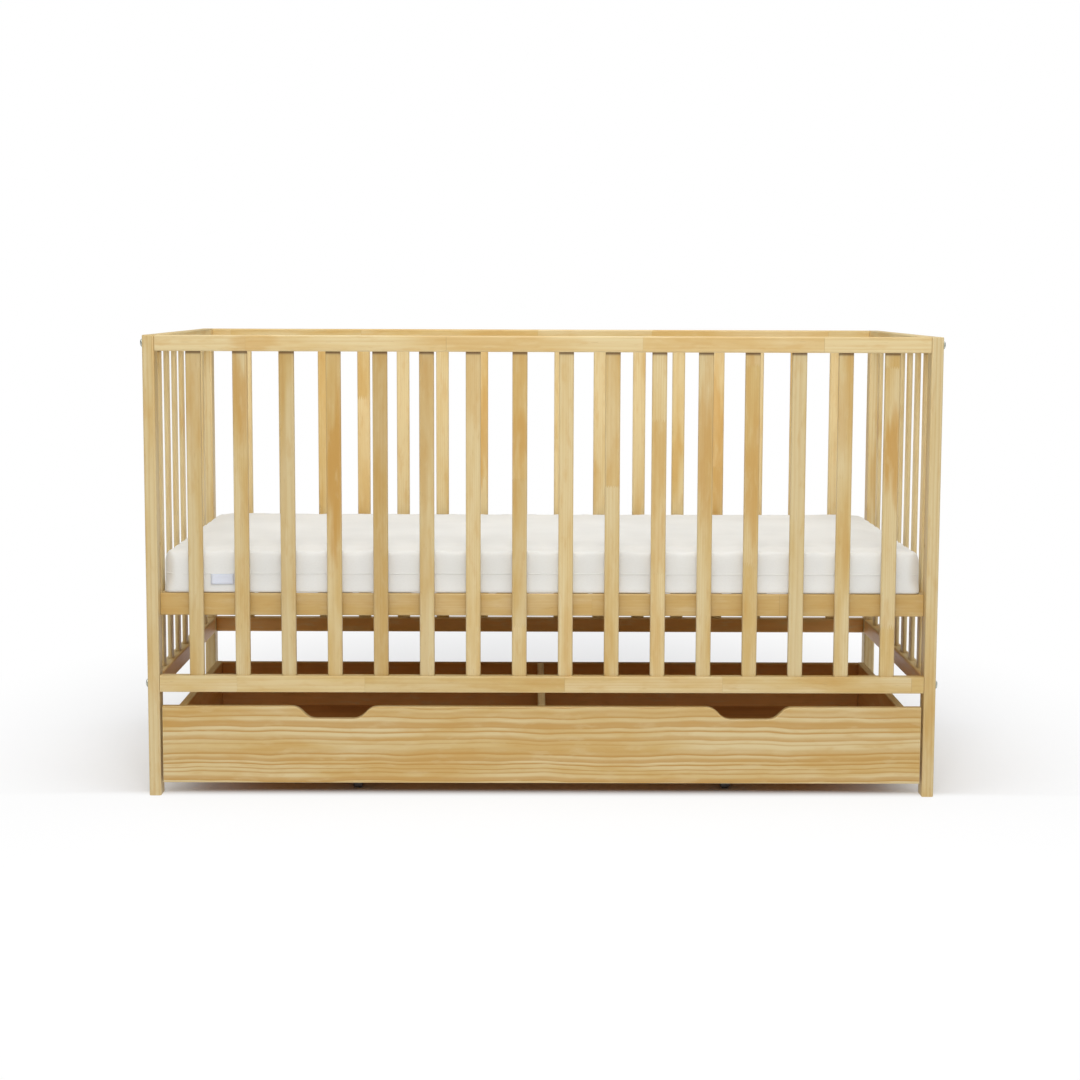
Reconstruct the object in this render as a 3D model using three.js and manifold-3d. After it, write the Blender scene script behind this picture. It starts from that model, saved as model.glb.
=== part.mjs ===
// A slatted pine cot with a mattress and an under-bed drawer on castors.
// Millimetres, +Z up. The origin is on the floor under the middle of the cot,
// +X runs along its length and the drawer pulls out towards -Y.
import * as THREE from 'three';
import { mergeVertices } from 'three/addons/utils/BufferGeometryUtils.js';
import Module from 'manifold-3d';

// ---- Driving dimensions ----
const overall = { length: 1450, depth: 746, height: 848 };
const gap = 0.3;            // between pieces that touch
const edgeRadius = 3;       // rounding of the long edges of every frame board
const edgeSteps = 1;        // straight steps in a rounded edge

const post = { thickness: 22, beyondBaseBolt: 7.2 };

const sideRail = { thickness: 22, topHeight: 29, bottomHeight: 31, underside: 194 };
const sideSlat = { count: 16, width: 27, thickness: 12, tenon: 10, firstGap: 55 };

const endRail = { thickness: 22, topHeight: 29, bottomHeight: 31 };
const endSlat = { count: 7, width: 27, thickness: 8, tenon: 10, firstGap: 60 };

const base = { top: 375, railHeight: 41, railThickness: 17, ledge: 9, otherHeights: [-110, 110] };
const baseSlat = { count: 12, width: 60, thickness: 12, firstGap: 50 };
const tape = { width: 25, thickness: 2, fromCentre: 220, bite: 0.5 };

const mattress = { thickness: 80, endClearance: 3, sideClearance: 2 };
const mattressEdge = { cornerRadius: 28, radius: 12, cornerSteps: 4, steps: 2 };

const drawer = { underside: 25, height: 143, sideClearance: 4, frontThickness: 16, depth: 530 };
const drawerCorner = 3;
const notch = { fromCentre: 382, topWidth: 160, flatWidth: 68, depth: 23, steps: 5 };
const drawerBox = { sideInset: 23, sideThickness: 15, belowFront: 6, aboveUnderside: 15 };
const drawerDivider = { thickness: 13.5 };
const drawerFloor = { aboveUnderside: 46, thickness: 8, groove: 5 };

const wheel = { radius: 22, width: 17, boreRadius: 4.3, rimChamfer: 1.5, sides: 24 };
const castor = { fromCentre: 345, inset: 60, plateWidth: 46, plateLength: 62, sheet: 2.5 };
const castorFork = { innerWidth: 21, bossRadius: 9, topLength: 34, bossSteps: 6 };
const axle = { radius: 4, rivet: 1, sides: 12 };

const bolt = { radius: 3, headRadius: 7.5, headHeight: 3.5, grip: 45 };
const boltCrown = { radius: 5.2, drop: 1.7, socketRadius: 2.5, socketDepth: 2 };
const roundSides = 12;      // of bolts and their holes
const barrelNut = { radius: 5, depth: 17, setback: 34 };

// ---- Sizes that follow from them ----
const innerLength = overall.length - 2 * post.thickness;
const innerDepth = overall.depth - 2 * sideRail.thickness;
const postDepth = sideRail.thickness + gap + base.railThickness / 2 + post.beyondBaseBolt;
const endOpening = overall.depth - 2 * postDepth;
const sideY = (overall.depth - sideRail.thickness) / 2;
const endX = (overall.length - endRail.thickness) / 2;
const topRailZ = overall.height - sideRail.topHeight / 2;
const bottomRailZ = sideRail.underside + sideRail.bottomHeight / 2;
const endTopRailZ = overall.height - endRail.topHeight / 2;
const endBottomRailZ = sideRail.underside + endRail.bottomHeight / 2;
const baseRailY = innerDepth / 2 - gap - base.railThickness / 2;
const baseRailZ = base.top - base.railHeight / 2;
const boltHole = bolt.radius + gap;
const frontFace = -overall.depth / 2;
const frontBack = frontFace + drawer.frontThickness;

const wasm = await Module();
wasm.setup();

// ---- Materials ----
const finish = (color, roughness, metalness = 0) =>
  new THREE.MeshStandardMaterial({ color, roughness, metalness });
const materials = {
  pine: finish(0xd8bb86, 0.55),
  ply: finish(0xb98a52, 0.6),
  ticking: finish(0xe9e7de, 0.95),
  steel: finish(0x9b9a90, 0.4, 0.9),
  wheelPlastic: finish(0x6f7072, 0.5),
};

// ---- Solids: joining and cutting ----
function toSolid(geometry) {
  const bare = geometry.clone();
  bare.deleteAttribute('normal');
  bare.deleteAttribute('uv');
  const merged = mergeVertices(bare);
  return new wasm.Manifold(new wasm.Mesh({
    numProp: 3,
    vertProperties: merged.attributes.position.array,
    triVerts: Uint32Array.from(merged.index.array),
  }));
}

function toGeometry(solid) {
  const mesh = solid.getMesh();
  const geometry = new THREE.BufferGeometry();
  geometry.setAttribute('position', new THREE.BufferAttribute(mesh.vertProperties, 3));
  geometry.setIndex(new THREE.BufferAttribute(mesh.triVerts, 1));
  geometry.computeVertexNormals();
  return geometry;
}

const cut = (geometry, cutters) =>
  toGeometry(cutters.reduce((solid, cutter) => solid.subtract(toSolid(cutter)), toSolid(geometry)));

const join = (geometries) =>
  toGeometry(geometries.map(toSolid).reduce((solid, next) => solid.add(next)));

// ---- Basic shapes, each centred on its own origin unless it is given a place ----
function roundedRectangle(width, height, radius) {
  const x = width / 2 - radius;
  const y = height / 2 - radius;
  const shape = new THREE.Shape();
  shape.moveTo(x + radius, -y);
  shape.lineTo(x + radius, y);
  shape.absarc(x, y, radius, 0, Math.PI / 2);
  shape.lineTo(-x, y + radius);
  shape.absarc(-x, y, radius, Math.PI / 2, Math.PI);
  shape.lineTo(-x - radius, -y);
  shape.absarc(-x, -y, radius, Math.PI, 1.5 * Math.PI);
  shape.lineTo(x, -y - radius);
  shape.absarc(x, -y, radius, 1.5 * Math.PI, 2 * Math.PI);
  return shape;
}

// A board whose grain and rounded edges run along one axis.
function board(along, x, y, z) {
  const [width, height, length] = { x: [z, y, x], y: [x, z, y], z: [x, y, z] }[along];
  const section = roundedRectangle(width, height, edgeRadius);
  const settings = { depth: length, bevelEnabled: false, curveSegments: edgeSteps };
  const geometry = new THREE.ExtrudeGeometry(section, settings).translate(0, 0, -length / 2);
  if (along === 'x') geometry.rotateY(Math.PI / 2);
  if (along === 'y') geometry.rotateX(-Math.PI / 2);
  return geometry;
}

const block = (x, y, z, place = [0, 0, 0]) => new THREE.BoxGeometry(x, y, z).translate(...place);

function rod(along, radius, length, place = [0, 0, 0], sides = roundSides) {
  const geometry = new THREE.CylinderGeometry(radius, radius, length, sides);
  if (along === 'x') geometry.rotateZ(Math.PI / 2);
  if (along === 'z') geometry.rotateX(Math.PI / 2);
  return geometry.translate(...place);
}

// Centres of pieces of one width spread evenly along a span, the outer two a set gap from its ends.
function spread(count, width, span, firstGap) {
  const first = -span / 2 + firstGap + width / 2;
  const pitch = -2 * first / (count - 1);
  return Array.from({ length: count }, (_, index) => first + index * pitch);
}

function place(group, name, geometry, material, [x, y, z]) {
  const mesh = new THREE.Mesh(geometry, material.clone());
  mesh.name = name;
  mesh.position.set(x, y, z);
  group.add(mesh);
}

const corners = [
  { name: 'front_left', x: -1, y: -1 },
  { name: 'front_right', x: 1, y: -1 },
  { name: 'back_left', x: -1, y: 1 },
  { name: 'back_right', x: 1, y: 1 },
];

// ---- Bolt holes and barrel nut holes in both ends of a long rail ----
// nutSide is 1 when the nut holes open towards the back, -1 towards the front.
function railEndHoles(railLength, thickness, nutSide) {
  return [-1, 1].flatMap((end) => [
    rod('x', boltHole, 2 * (bolt.grip + gap), [end * railLength / 2, 0, 0]),
    rod('y', barrelNut.radius + gap, 2 * barrelNut.depth,
      [end * (railLength / 2 - barrelNut.setback), nutSide * thickness / 2, 0]),
  ]);
}

// ---- Long sides: top rail, bottom rail and upright slats ----
const sideSlatX = spread(sideSlat.count, sideSlat.width, innerLength, sideSlat.firstGap);
const railLength = innerLength - 2 * gap;

function mortises(positions, slat, height, side, along) {
  const depth = slat.tenon + gap;
  const width = slat.width + 2 * gap;
  const thickness = slat.thickness + 2 * gap;
  const z = side * (height / 2 - depth / 2 + gap);
  return positions.map((at) => (along === 'x'
    ? block(width, thickness, depth + 2 * gap, [at, 0, z])
    : block(thickness, width, depth + 2 * gap, [0, at, z])));
}

function slatHeight(slat, topHeight, bottomHeight) {
  const clear = overall.height - topHeight - sideRail.underside - bottomHeight;
  return clear + 2 * slat.tenon;
}

function slatMiddle(topHeight, bottomHeight) {
  return (overall.height - topHeight + sideRail.underside + bottomHeight) / 2;
}

const sideSlatHeight = slatHeight(sideSlat, sideRail.topHeight, sideRail.bottomHeight);
const sideSlatZ = slatMiddle(sideRail.topHeight, sideRail.bottomHeight);
const sideSlatBoard = () => board('z', sideSlat.width, sideSlat.thickness, sideSlatHeight);

// mortiseSide is -1 for mortises in the underside, 1 for the top and 0 for none.
function longRail(height, mortiseSide, nutSide) {
  const rail = board('x', railLength, sideRail.thickness, height);
  const cuts = railEndHoles(railLength, sideRail.thickness, nutSide);
  if (mortiseSide) cuts.push(...mortises(sideSlatX, sideSlat, height, mortiseSide, 'x'));
  return cut(rail, cuts);
}

function frontSide(group) {
  place(group, 'front_top_rail', longRail(sideRail.topHeight, -1, 1), materials.pine,
    [0, -sideY, topRailZ]);
  place(group, 'front_bottom_rail', longRail(sideRail.bottomHeight, 1, 1), materials.pine,
    [0, -sideY, bottomRailZ]);
  sideSlatX.forEach((x, index) => {
    const number = String(index + 1).padStart(2, '0');
    place(group, `front_slat_${number}`, sideSlatBoard(), materials.pine, [x, -sideY, sideSlatZ]);
  });
}

// The back side's slats are one piece with its bottom rail.
function backSide(group) {
  place(group, 'back_top_rail', longRail(sideRail.topHeight, -1, 1), materials.pine,
    [0, sideY, topRailZ]);
  const rise = sideSlatZ - bottomRailZ;
  const slats = sideSlatX.map((x) => sideSlatBoard().translate(x, 0, rise));
  place(group, 'back_bottom_rail_with_slats',
    join([longRail(sideRail.bottomHeight, 0, 1), ...slats]), materials.pine,
    [0, sideY, bottomRailZ]);
}

// ---- Ends: two posts, top rail, bottom rail with its slats ----
function cornerPost({ x, y }) {
  const through = post.thickness + 2 * gap;
  const sideOffset = y * (sideY - (overall.depth - postDepth) / 2);
  const baseOffset = y * (baseRailY - (overall.depth - postDepth) / 2);
  const baseHeights = [0, ...base.otherHeights].map((step) => baseRailZ + step);
  const holes = [
    ...[topRailZ, bottomRailZ].map((z) => [sideOffset, z]),
    ...baseHeights.map((z) => [baseOffset, z]),
  ];
  const upright = board('z', post.thickness, postDepth, overall.height);
  return cut(upright, holes.map(([offset, z]) =>
    rod('x', boltHole, through, [0, offset, z - overall.height / 2])));
}

function endPanels(group) {
  const endSlatY = spread(endSlat.count, endSlat.width, endOpening, endSlat.firstGap);
  const height = slatHeight(endSlat, endRail.topHeight, endRail.bottomHeight);
  const rise = slatMiddle(endRail.topHeight, endRail.bottomHeight) - endBottomRailZ;
  const span = endOpening - 2 * gap;
  for (const corner of corners) {
    place(group, `${corner.name}_post`, cornerPost(corner), materials.pine,
      [corner.x * endX, corner.y * (overall.depth - postDepth) / 2, overall.height / 2]);
  }
  for (const [name, side] of [['left', -1], ['right', 1]]) {
    const topRail = cut(board('y', endRail.thickness, span, endRail.topHeight),
      mortises(endSlatY, endSlat, endRail.topHeight, -1, 'y'));
    place(group, `${name}_end_top_rail`, topRail, materials.pine, [side * endX, 0, endTopRailZ]);
    const slats = endSlatY.map((y) =>
      board('z', endSlat.thickness, endSlat.width, height).translate(0, y, rise));
    const rail = board('y', endRail.thickness, span, endRail.bottomHeight);
    place(group, `${name}_end_bottom_rail_with_slats`, join([rail, ...slats]), materials.pine,
      [side * endX, 0, endBottomRailZ]);
  }
}

// ---- Mattress base: four rails, the long ones with a ledge that the cross slats lie on ----
function mattressBase(group) {
  const ledgeDepth = baseSlat.thickness + gap;
  for (const [name, side] of [['front', -1], ['back', 1]]) {
    const rail = board('x', railLength, base.railThickness, base.railHeight);
    const ledge = block(railLength + 2 * gap, base.ledge + gap, ledgeDepth + gap,
      [0, -side * (base.railThickness - base.ledge + gap) / 2, (base.railHeight - ledgeDepth + gap) / 2]);
    const holes = railEndHoles(railLength, base.railThickness, -side);
    place(group, `base_${name}_rail`, cut(rail, [ledge, ...holes]), materials.pine,
      [0, side * baseRailY, baseRailZ]);
  }
  const between = 2 * baseRailY - base.railThickness - 2 * gap;
  const endRailX = railLength / 2 - base.railThickness / 2;
  for (const [name, side] of [['left', -1], ['right', 1]]) {
    place(group, `base_${name}_rail`, board('y', base.railThickness, between, base.railHeight),
      materials.pine, [side * endRailX, 0, baseRailZ]);
  }

  // The cross slats are held together by two woven tapes under them.
  const slatSpan = 2 * endRailX - base.railThickness;
  const slatX = spread(baseSlat.count, baseSlat.width, slatSpan, baseSlat.firstGap);
  const slatLength = between + 2 * (base.ledge - gap);
  const tapeLength = 2 * slatX[slatX.length - 1] + baseSlat.width / 2;
  const slats = slatX.map((x) =>
    board('y', baseSlat.width, slatLength, baseSlat.thickness).translate(x, 0, 0));
  const tapes = [-1, 1].map((side) => block(tapeLength, tape.width, tape.thickness,
    [0, side * tape.fromCentre, -(baseSlat.thickness + tape.thickness) / 2 + tape.bite]));
  place(group, 'base_cross_slats', join([...slats, ...tapes]), materials.pine,
    [0, 0, base.top - baseSlat.thickness / 2]);
}

// ---- Mattress ----
function mattressPad(group) {
  const flat = mattress.thickness - 2 * mattressEdge.radius;
  const outline = roundedRectangle(innerLength - 2 * (mattress.endClearance + mattressEdge.radius),
    innerDepth - 2 * (mattress.sideClearance + mattressEdge.radius),
    mattressEdge.cornerRadius - mattressEdge.radius);
  const pad = new THREE.ExtrudeGeometry(outline, {
    depth: flat, curveSegments: mattressEdge.cornerSteps, bevelEnabled: true,
    bevelSegments: mattressEdge.steps, bevelSize: mattressEdge.radius, bevelThickness: mattressEdge.radius,
  }).translate(0, 0, mattressEdge.radius);
  place(group, 'mattress', pad, materials.ticking, [0, 0, base.top + gap]);
}

// ---- Drawer ----
const frontLength = innerLength - 2 * drawer.sideClearance;
const boxOuterX = frontLength / 2 - drawerBox.sideInset;
const boxInnerX = boxOuterX - drawerBox.sideThickness;
const boxFrontY = frontBack + gap;
const boxBackY = frontFace + drawer.depth;
const boxTop = drawer.underside + drawer.height - drawerBox.belowFront;
const boxUnderside = drawer.underside + drawerBox.aboveUnderside;
const boxHeight = boxTop - boxUnderside;
const boxZ = (boxTop + boxUnderside) / 2;
const floorTop = drawer.underside + drawerFloor.aboveUnderside;
const floorZ = floorTop - drawerFloor.thickness / 2;
const grooveHeight = drawerFloor.thickness + 2 * gap;
const grooveDepth = drawerFloor.groove + gap;

// The front's outline, drawn in X and Z, with a scooped hand notch on each side of the middle.
function drawerFrontOutline() {
  const right = frontLength / 2;
  const top = drawer.height;
  const shape = new THREE.Shape();
  const scoop = (centre) => {
    const start = centre + notch.topWidth / 2;
    const flatStart = centre + notch.flatWidth / 2;
    const low = top - notch.depth;
    const pull = (start - flatStart) / 2;
    shape.lineTo(start, top);
    shape.bezierCurveTo(start - pull, top, flatStart + pull, low, flatStart, low);
    shape.lineTo(2 * centre - flatStart, low);
    shape.bezierCurveTo(2 * centre - flatStart - pull, low, 2 * centre - start + pull, top,
      2 * centre - start, top);
  };
  shape.moveTo(-right + drawerCorner, 0);
  shape.lineTo(right - drawerCorner, 0);
  shape.absarc(right - drawerCorner, drawerCorner, drawerCorner, -Math.PI / 2, 0);
  shape.lineTo(right, top - drawerCorner);
  shape.absarc(right - drawerCorner, top - drawerCorner, drawerCorner, 0, Math.PI / 2);
  scoop(notch.fromCentre);
  scoop(-notch.fromCentre);
  shape.lineTo(-right + drawerCorner, top);
  shape.absarc(-right + drawerCorner, top - drawerCorner, drawerCorner, Math.PI / 2, Math.PI);
  shape.lineTo(-right, drawerCorner);
  shape.absarc(-right + drawerCorner, drawerCorner, drawerCorner, Math.PI, 1.5 * Math.PI);
  return shape;
}

function drawerFront(group) {
  const settings = { depth: drawer.frontThickness, bevelEnabled: false, curveSegments: notch.steps };
  const panel = new THREE.ExtrudeGeometry(drawerFrontOutline(), settings).rotateX(Math.PI / 2);
  const groove = block(2 * (boxInnerX + grooveDepth), 2 * grooveDepth, grooveHeight,
    [0, 0, floorZ - drawer.underside]);
  place(group, 'drawer_front', cut(panel, [groove]), materials.pine, [0, frontBack, drawer.underside]);
}

function drawerSides(group) {
  const length = boxBackY - boxFrontY;
  for (const [name, side] of [['left', -1], ['right', 1]]) {
    const groove = block(2 * grooveDepth, length + 2 * gap, grooveHeight,
      [-side * drawerBox.sideThickness / 2, 0, floorZ - boxZ]);
    place(group, `drawer_${name}_side`,
      cut(board('y', drawerBox.sideThickness, length, boxHeight), [groove]), materials.pine,
      [side * (boxOuterX - drawerBox.sideThickness / 2), (boxFrontY + boxBackY) / 2, boxZ]);
  }
}

function drawerBackAndDivider(group) {
  const backLength = 2 * (boxInnerX - gap);
  const backY = boxBackY - drawerBox.sideThickness / 2;
  const groove = block(backLength + 2 * gap, 2 * grooveDepth, grooveHeight,
    [0, -drawerBox.sideThickness / 2, floorZ - boxZ]);
  place(group, 'drawer_back', cut(board('x', backLength, drawerBox.sideThickness, boxHeight), [groove]),
    materials.pine, [0, backY, boxZ]);

  const length = boxBackY - drawerBox.sideThickness - gap - boxFrontY;
  const height = boxTop - floorTop - gap;
  place(group, 'drawer_divider', board('y', drawerDivider.thickness, length, height), materials.pine,
    [0, boxFrontY + length / 2, boxTop - height / 2]);
}

function drawerFloorPanel(group) {
  const front = frontBack - drawerFloor.groove;
  const back = boxBackY - drawerBox.sideThickness + drawerFloor.groove;
  place(group, 'drawer_floor',
    block(2 * (boxInnerX + drawerFloor.groove), back - front, drawerFloor.thickness), materials.ply,
    [0, (front + back) / 2, floorZ]);
}

// ---- Castors under the drawer floor ----
function castorWheel() {
  const half = wheel.width / 2;
  const shoulder = wheel.radius - wheel.rimChamfer;
  const profile = [
    [wheel.boreRadius, -half], [shoulder, -half], [wheel.radius, -half + wheel.rimChamfer],
    [wheel.radius, half - wheel.rimChamfer], [shoulder, half], [wheel.boreRadius, half],
    [wheel.boreRadius, -half],
  ].map(([x, y]) => new THREE.Vector2(x, y));
  return new THREE.LatheGeometry(profile, wheel.sides).rotateZ(Math.PI / 2);
}

// A steel fork: plate, two cheeks that narrow to the axle, and the axle riveted through them.
function castorBracket(plateTop) {
  const plateUnder = plateTop - castor.sheet;
  const cheek = new THREE.Shape();
  cheek.moveTo(castorFork.topLength / 2, plateUnder + castor.sheet / 2);
  cheek.lineTo(-castorFork.topLength / 2, plateUnder + castor.sheet / 2);
  cheek.lineTo(-castorFork.bossRadius, wheel.radius);
  cheek.absarc(0, wheel.radius, castorFork.bossRadius, Math.PI, 2 * Math.PI);
  const cheekX = (castorFork.innerWidth + castor.sheet) / 2;
  const settings = { depth: castor.sheet, bevelEnabled: false, curveSegments: castorFork.bossSteps };
  const cheeks = [-1, 1].map((side) =>
    new THREE.ExtrudeGeometry(cheek, settings)
      .translate(0, 0, -castor.sheet / 2).rotateX(Math.PI / 2).rotateZ(Math.PI / 2)
      .translate(side * cheekX, 0, 0));
  const plate = block(castor.plateWidth, castor.plateLength, castor.sheet,
    [0, 0, plateTop - castor.sheet / 2]);
  const pin = rod('x', axle.radius, castorFork.innerWidth + 2 * (castor.sheet + axle.rivet),
    [0, 0, wheel.radius], axle.sides);
  return join([plate, ...cheeks, pin]);
}

function castors(group) {
  const plateTop = floorTop - drawerFloor.thickness - gap;
  const rows = {
    [-1]: boxFrontY + castor.inset,
    [1]: boxBackY - drawerBox.sideThickness - castor.inset,
  };
  for (const corner of corners) {
    const x = corner.x * castor.fromCentre;
    const y = rows[corner.y];
    place(group, `castor_bracket_${corner.name}`, castorBracket(plateTop), materials.steel, [x, y, 0]);
    place(group, `castor_wheel_${corner.name}`, castorWheel(), materials.wheelPlastic,
      [x, y, wheel.radius]);
  }
}

// ---- Bolts through the posts into the ends of the long rails ----
function boltBody() {
  const head = bolt.headHeight;
  const shank = post.thickness + gap + bolt.grip;
  const profile = [
    [0, head - boltCrown.socketDepth], [boltCrown.socketRadius, head - boltCrown.socketDepth],
    [boltCrown.socketRadius, head], [boltCrown.radius, head], [bolt.headRadius, head - boltCrown.drop],
    [bolt.headRadius, 0], [bolt.radius, 0], [bolt.radius, -shank], [0, -shank],
  ].map(([x, y]) => new THREE.Vector2(x, y)).reverse();
  return new THREE.LatheGeometry(profile, roundSides).rotateZ(-Math.PI / 2);
}

function bolts(group) {
  const levels = [
    { name: 'top_rail', y: sideY, z: topRailZ },
    { name: 'base_rail', y: baseRailY, z: baseRailZ },
    { name: 'bottom_rail', y: sideY, z: bottomRailZ },
  ];
  for (const corner of corners) {
    for (const level of levels) {
      const body = boltBody();
      if (corner.x < 0) body.rotateZ(Math.PI);
      place(group, `bolt_${corner.name}_${level.name}`, body, materials.steel,
        [corner.x * (overall.length / 2 + gap), corner.y * level.y, level.z]);
    }
  }
}

// ---- The whole cot ----
const group = new THREE.Group();
const frame = new THREE.Group();
const sleepingBase = new THREE.Group();
const drawerGroup = new THREE.Group();
group.add(frame, sleepingBase, drawerGroup);

frontSide(frame);
backSide(frame);
endPanels(frame);
bolts(frame);
mattressBase(sleepingBase);
mattressPad(sleepingBase);
drawerFront(drawerGroup);
drawerSides(drawerGroup);
drawerBackAndDivider(drawerGroup);
drawerFloorPanel(drawerGroup);
castors(drawerGroup);

export default group;
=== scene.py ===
import math
import random

import bmesh
import bpy
from mathutils import Matrix, Vector
from mathutils.bvhtree import BVHTree


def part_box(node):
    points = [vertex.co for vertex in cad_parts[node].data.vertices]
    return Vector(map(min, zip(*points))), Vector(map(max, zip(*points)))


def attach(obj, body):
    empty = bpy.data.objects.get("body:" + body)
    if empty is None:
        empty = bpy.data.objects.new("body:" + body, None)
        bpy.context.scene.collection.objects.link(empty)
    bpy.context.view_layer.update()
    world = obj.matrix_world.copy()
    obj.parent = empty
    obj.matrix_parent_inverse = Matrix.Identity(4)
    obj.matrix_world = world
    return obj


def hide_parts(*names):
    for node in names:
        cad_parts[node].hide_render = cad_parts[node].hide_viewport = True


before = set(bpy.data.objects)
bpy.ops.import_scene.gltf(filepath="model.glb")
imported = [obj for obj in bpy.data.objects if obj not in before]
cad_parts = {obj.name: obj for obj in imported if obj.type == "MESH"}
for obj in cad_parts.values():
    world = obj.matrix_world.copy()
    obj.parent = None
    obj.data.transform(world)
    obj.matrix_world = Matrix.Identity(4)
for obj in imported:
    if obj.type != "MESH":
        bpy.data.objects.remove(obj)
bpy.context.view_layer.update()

MM = 0.001
X, Y, Z = 0, 1, 2
AXES = [Vector((1, 0, 0)), Vector((0, 1, 0)), Vector((0, 0, 1))]
UP = AXES[Z]

GAP = 0.3 * MM          # play round every tenon, bolt and panel
EDGE = 3 * MM           # rounding of a board's long edges
GROOVED_EDGE = EDGE * 0.8   # the same on a board with a ledge or a groove
ARRIS = 0.8 * MM        # easing of its ends
TENON = 10 * MM

# ---- Camera ----
camera = bpy.data.objects.new("camera", bpy.data.cameras.new("camera"))
bpy.context.scene.collection.objects.link(camera)
camera.data.sensor_width = 36
camera.data.lens = 71.96
camera.data.clip_start, camera.data.clip_end = 0.05, 60
CAMERA_PLACE = Vector((-0.02595, -4.2875, 0.9218))
CAMERA_DOWN, CAMERA_TURN, CAMERA_ROLL = (math.radians(a) for a in (6.477, -0.309, 0.187))


def aim_camera():
    ahead = Vector((-math.sin(CAMERA_TURN) * math.cos(CAMERA_DOWN),
                    math.cos(CAMERA_TURN) * math.cos(CAMERA_DOWN), -math.sin(CAMERA_DOWN)))
    side = Vector((math.cos(CAMERA_TURN), math.sin(CAMERA_TURN), 0))
    up = side.cross(ahead)
    roll = Matrix.Rotation(-CAMERA_ROLL, 3, ahead)
    side, up = roll @ side, roll @ up
    turned = Matrix((side, up, -ahead)).transposed().to_4x4()
    camera.matrix_world = Matrix.Translation(CAMERA_PLACE) @ turned


aim_camera()
bpy.context.scene.camera = camera
bpy.context.scene.view_settings.view_transform = "Standard"


# ---- Shader nodes ----
class Bench:
    """Adds nodes to one node tree and feeds their sockets."""

    def __init__(self, tree):
        self.tree = tree

    def feed(self, socket, value):
        if isinstance(value, bpy.types.NodeSocket):
            self.tree.links.new(value, socket)
        else:
            socket.default_value = value

    def add(self, kind, feeds=(), **settings):
        node = self.tree.nodes.new("ShaderNode" + kind)
        for key, value in settings.items():
            setattr(node, key, value)
        for key, value in dict(feeds).items():
            self.feed(node.inputs[key], value)
        return node

    def math(self, operation, a, b=0.0, c=0.0, clamp=False):
        feeds = {0: a, 1: b, 2: c}
        return self.add("Math", feeds, operation=operation, use_clamp=clamp).outputs[0]

    def plus(self, a, b):
        return self.math("ADD", a, b)

    def minus(self, a, b):
        return self.math("SUBTRACT", a, b)

    def times(self, a, b):
        return self.math("MULTIPLY", a, b)

    def vector(self, operation, a, b=(0, 0, 0)):
        return self.add("VectorMath", {0: a, 1: b}, operation=operation).outputs[0]

    def combine(self, x=0.0, y=0.0, z=0.0):
        return self.add("CombineXYZ", {0: x, 1: y, 2: z}).outputs[0]

    def split(self, vector):
        return self.add("SeparateXYZ", {0: vector}).outputs

    def noise(self, vector, scale=1.0, detail=2.0, rough=0.5, output=0):
        feeds = {"Vector": vector, "Scale": scale, "Detail": detail, "Roughness": rough}
        return self.add("TexNoise", feeds).outputs[output]

    def ramp(self, value, low, high, to_low=0.0, to_high=1.0):
        feeds = {0: value, 1: low, 2: high, 3: to_low, 4: to_high}
        return self.add("MapRange", feeds, interpolation_type="SMOOTHSTEP").outputs[0]

    def mix(self, share, a, b, blend="MIX"):
        feeds = {0: share, 6: a, 7: b}
        return self.add("Mix", feeds, data_type="RGBA", blend_type=blend).outputs[2]

    def attribute(self, name, output="Vector"):
        return self.add("Attribute", attribute_name=name).outputs[output]

    def group(self, tree, feeds=()):
        node = self.add("Group", node_tree=tree)
        for key, value in dict(feeds).items():
            self.feed(node.inputs[key], value)
        return node.outputs

    def object_place(self):
        return self.add("TexCoord").outputs["Object"]


def node_group(name, inputs, outputs):
    """An empty shader group, the bench to fill it at, its inputs and its outputs."""
    tree = bpy.data.node_groups.new(name, "ShaderNodeTree")
    kinds = {float: "NodeSocketFloat", tuple: "NodeSocketColor"}
    for label, value in inputs.items():
        socket = tree.interface.new_socket(label, in_out="INPUT", socket_type=kinds[type(value)])
        socket.default_value = value
    for label, kind in outputs.items():
        tree.interface.new_socket(label, in_out="OUTPUT", socket_type=kind)
    given = tree.nodes.new("NodeGroupInput").outputs
    taken = tree.nodes.new("NodeGroupOutput").inputs
    return tree, Bench(tree), given, taken


def material(name, **values):
    """A new material, the bench to build it at and its shader."""
    made = bpy.data.materials.new(name)
    made.use_nodes = True
    shader = made.node_tree.nodes["Principled BSDF"]
    for label, value in values.items():
        shader.inputs[label.replace("_", " ").title().replace("Ior", "IOR")].default_value = value
    return made, Bench(made.node_tree), shader


def raise_surface(bench, shader, height, distance, strength=1.0):
    feeds = {"Height": height, "Distance": distance, "Strength": strength}
    bench.feed(shader.inputs["Normal"], bench.add("Bump", feeds).outputs[0])


COLOUR, VALUE = "NodeSocketColor", "NodeSocketFloat"

# Pine: pale early wood, orange late wood, and the deeper heartwood.
EARLY_WOOD = (0.645, 0.450, 0.168, 1)
CREAM_WOOD = (0.720, 0.575, 0.305, 1)
LATE_WOOD = (0.530, 0.290, 0.066, 1)
HEART_WOOD = (0.560, 0.300, 0.058, 1)
KNOT_BROWN = (0.300, 0.150, 0.045, 1)
BARE_HEART_PAINTED_SHADE = (0.860, 0.400, 0.120, 1)      # unlacquered heartwood, deepened to a red brown as painted shade inside the drawer
# A red heartwood brown, kept dark as painted shade on the inner faces of the bottom rails.
RED_HEART_PAINTED_SHADE = (0.780, 0.335, 0.065, 1)
# Dark brown painted as the shade just under a rail.
UNDER_RAIL_PAINTED_SHADE = (0.120, 0.060, 0.020, 1)


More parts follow.
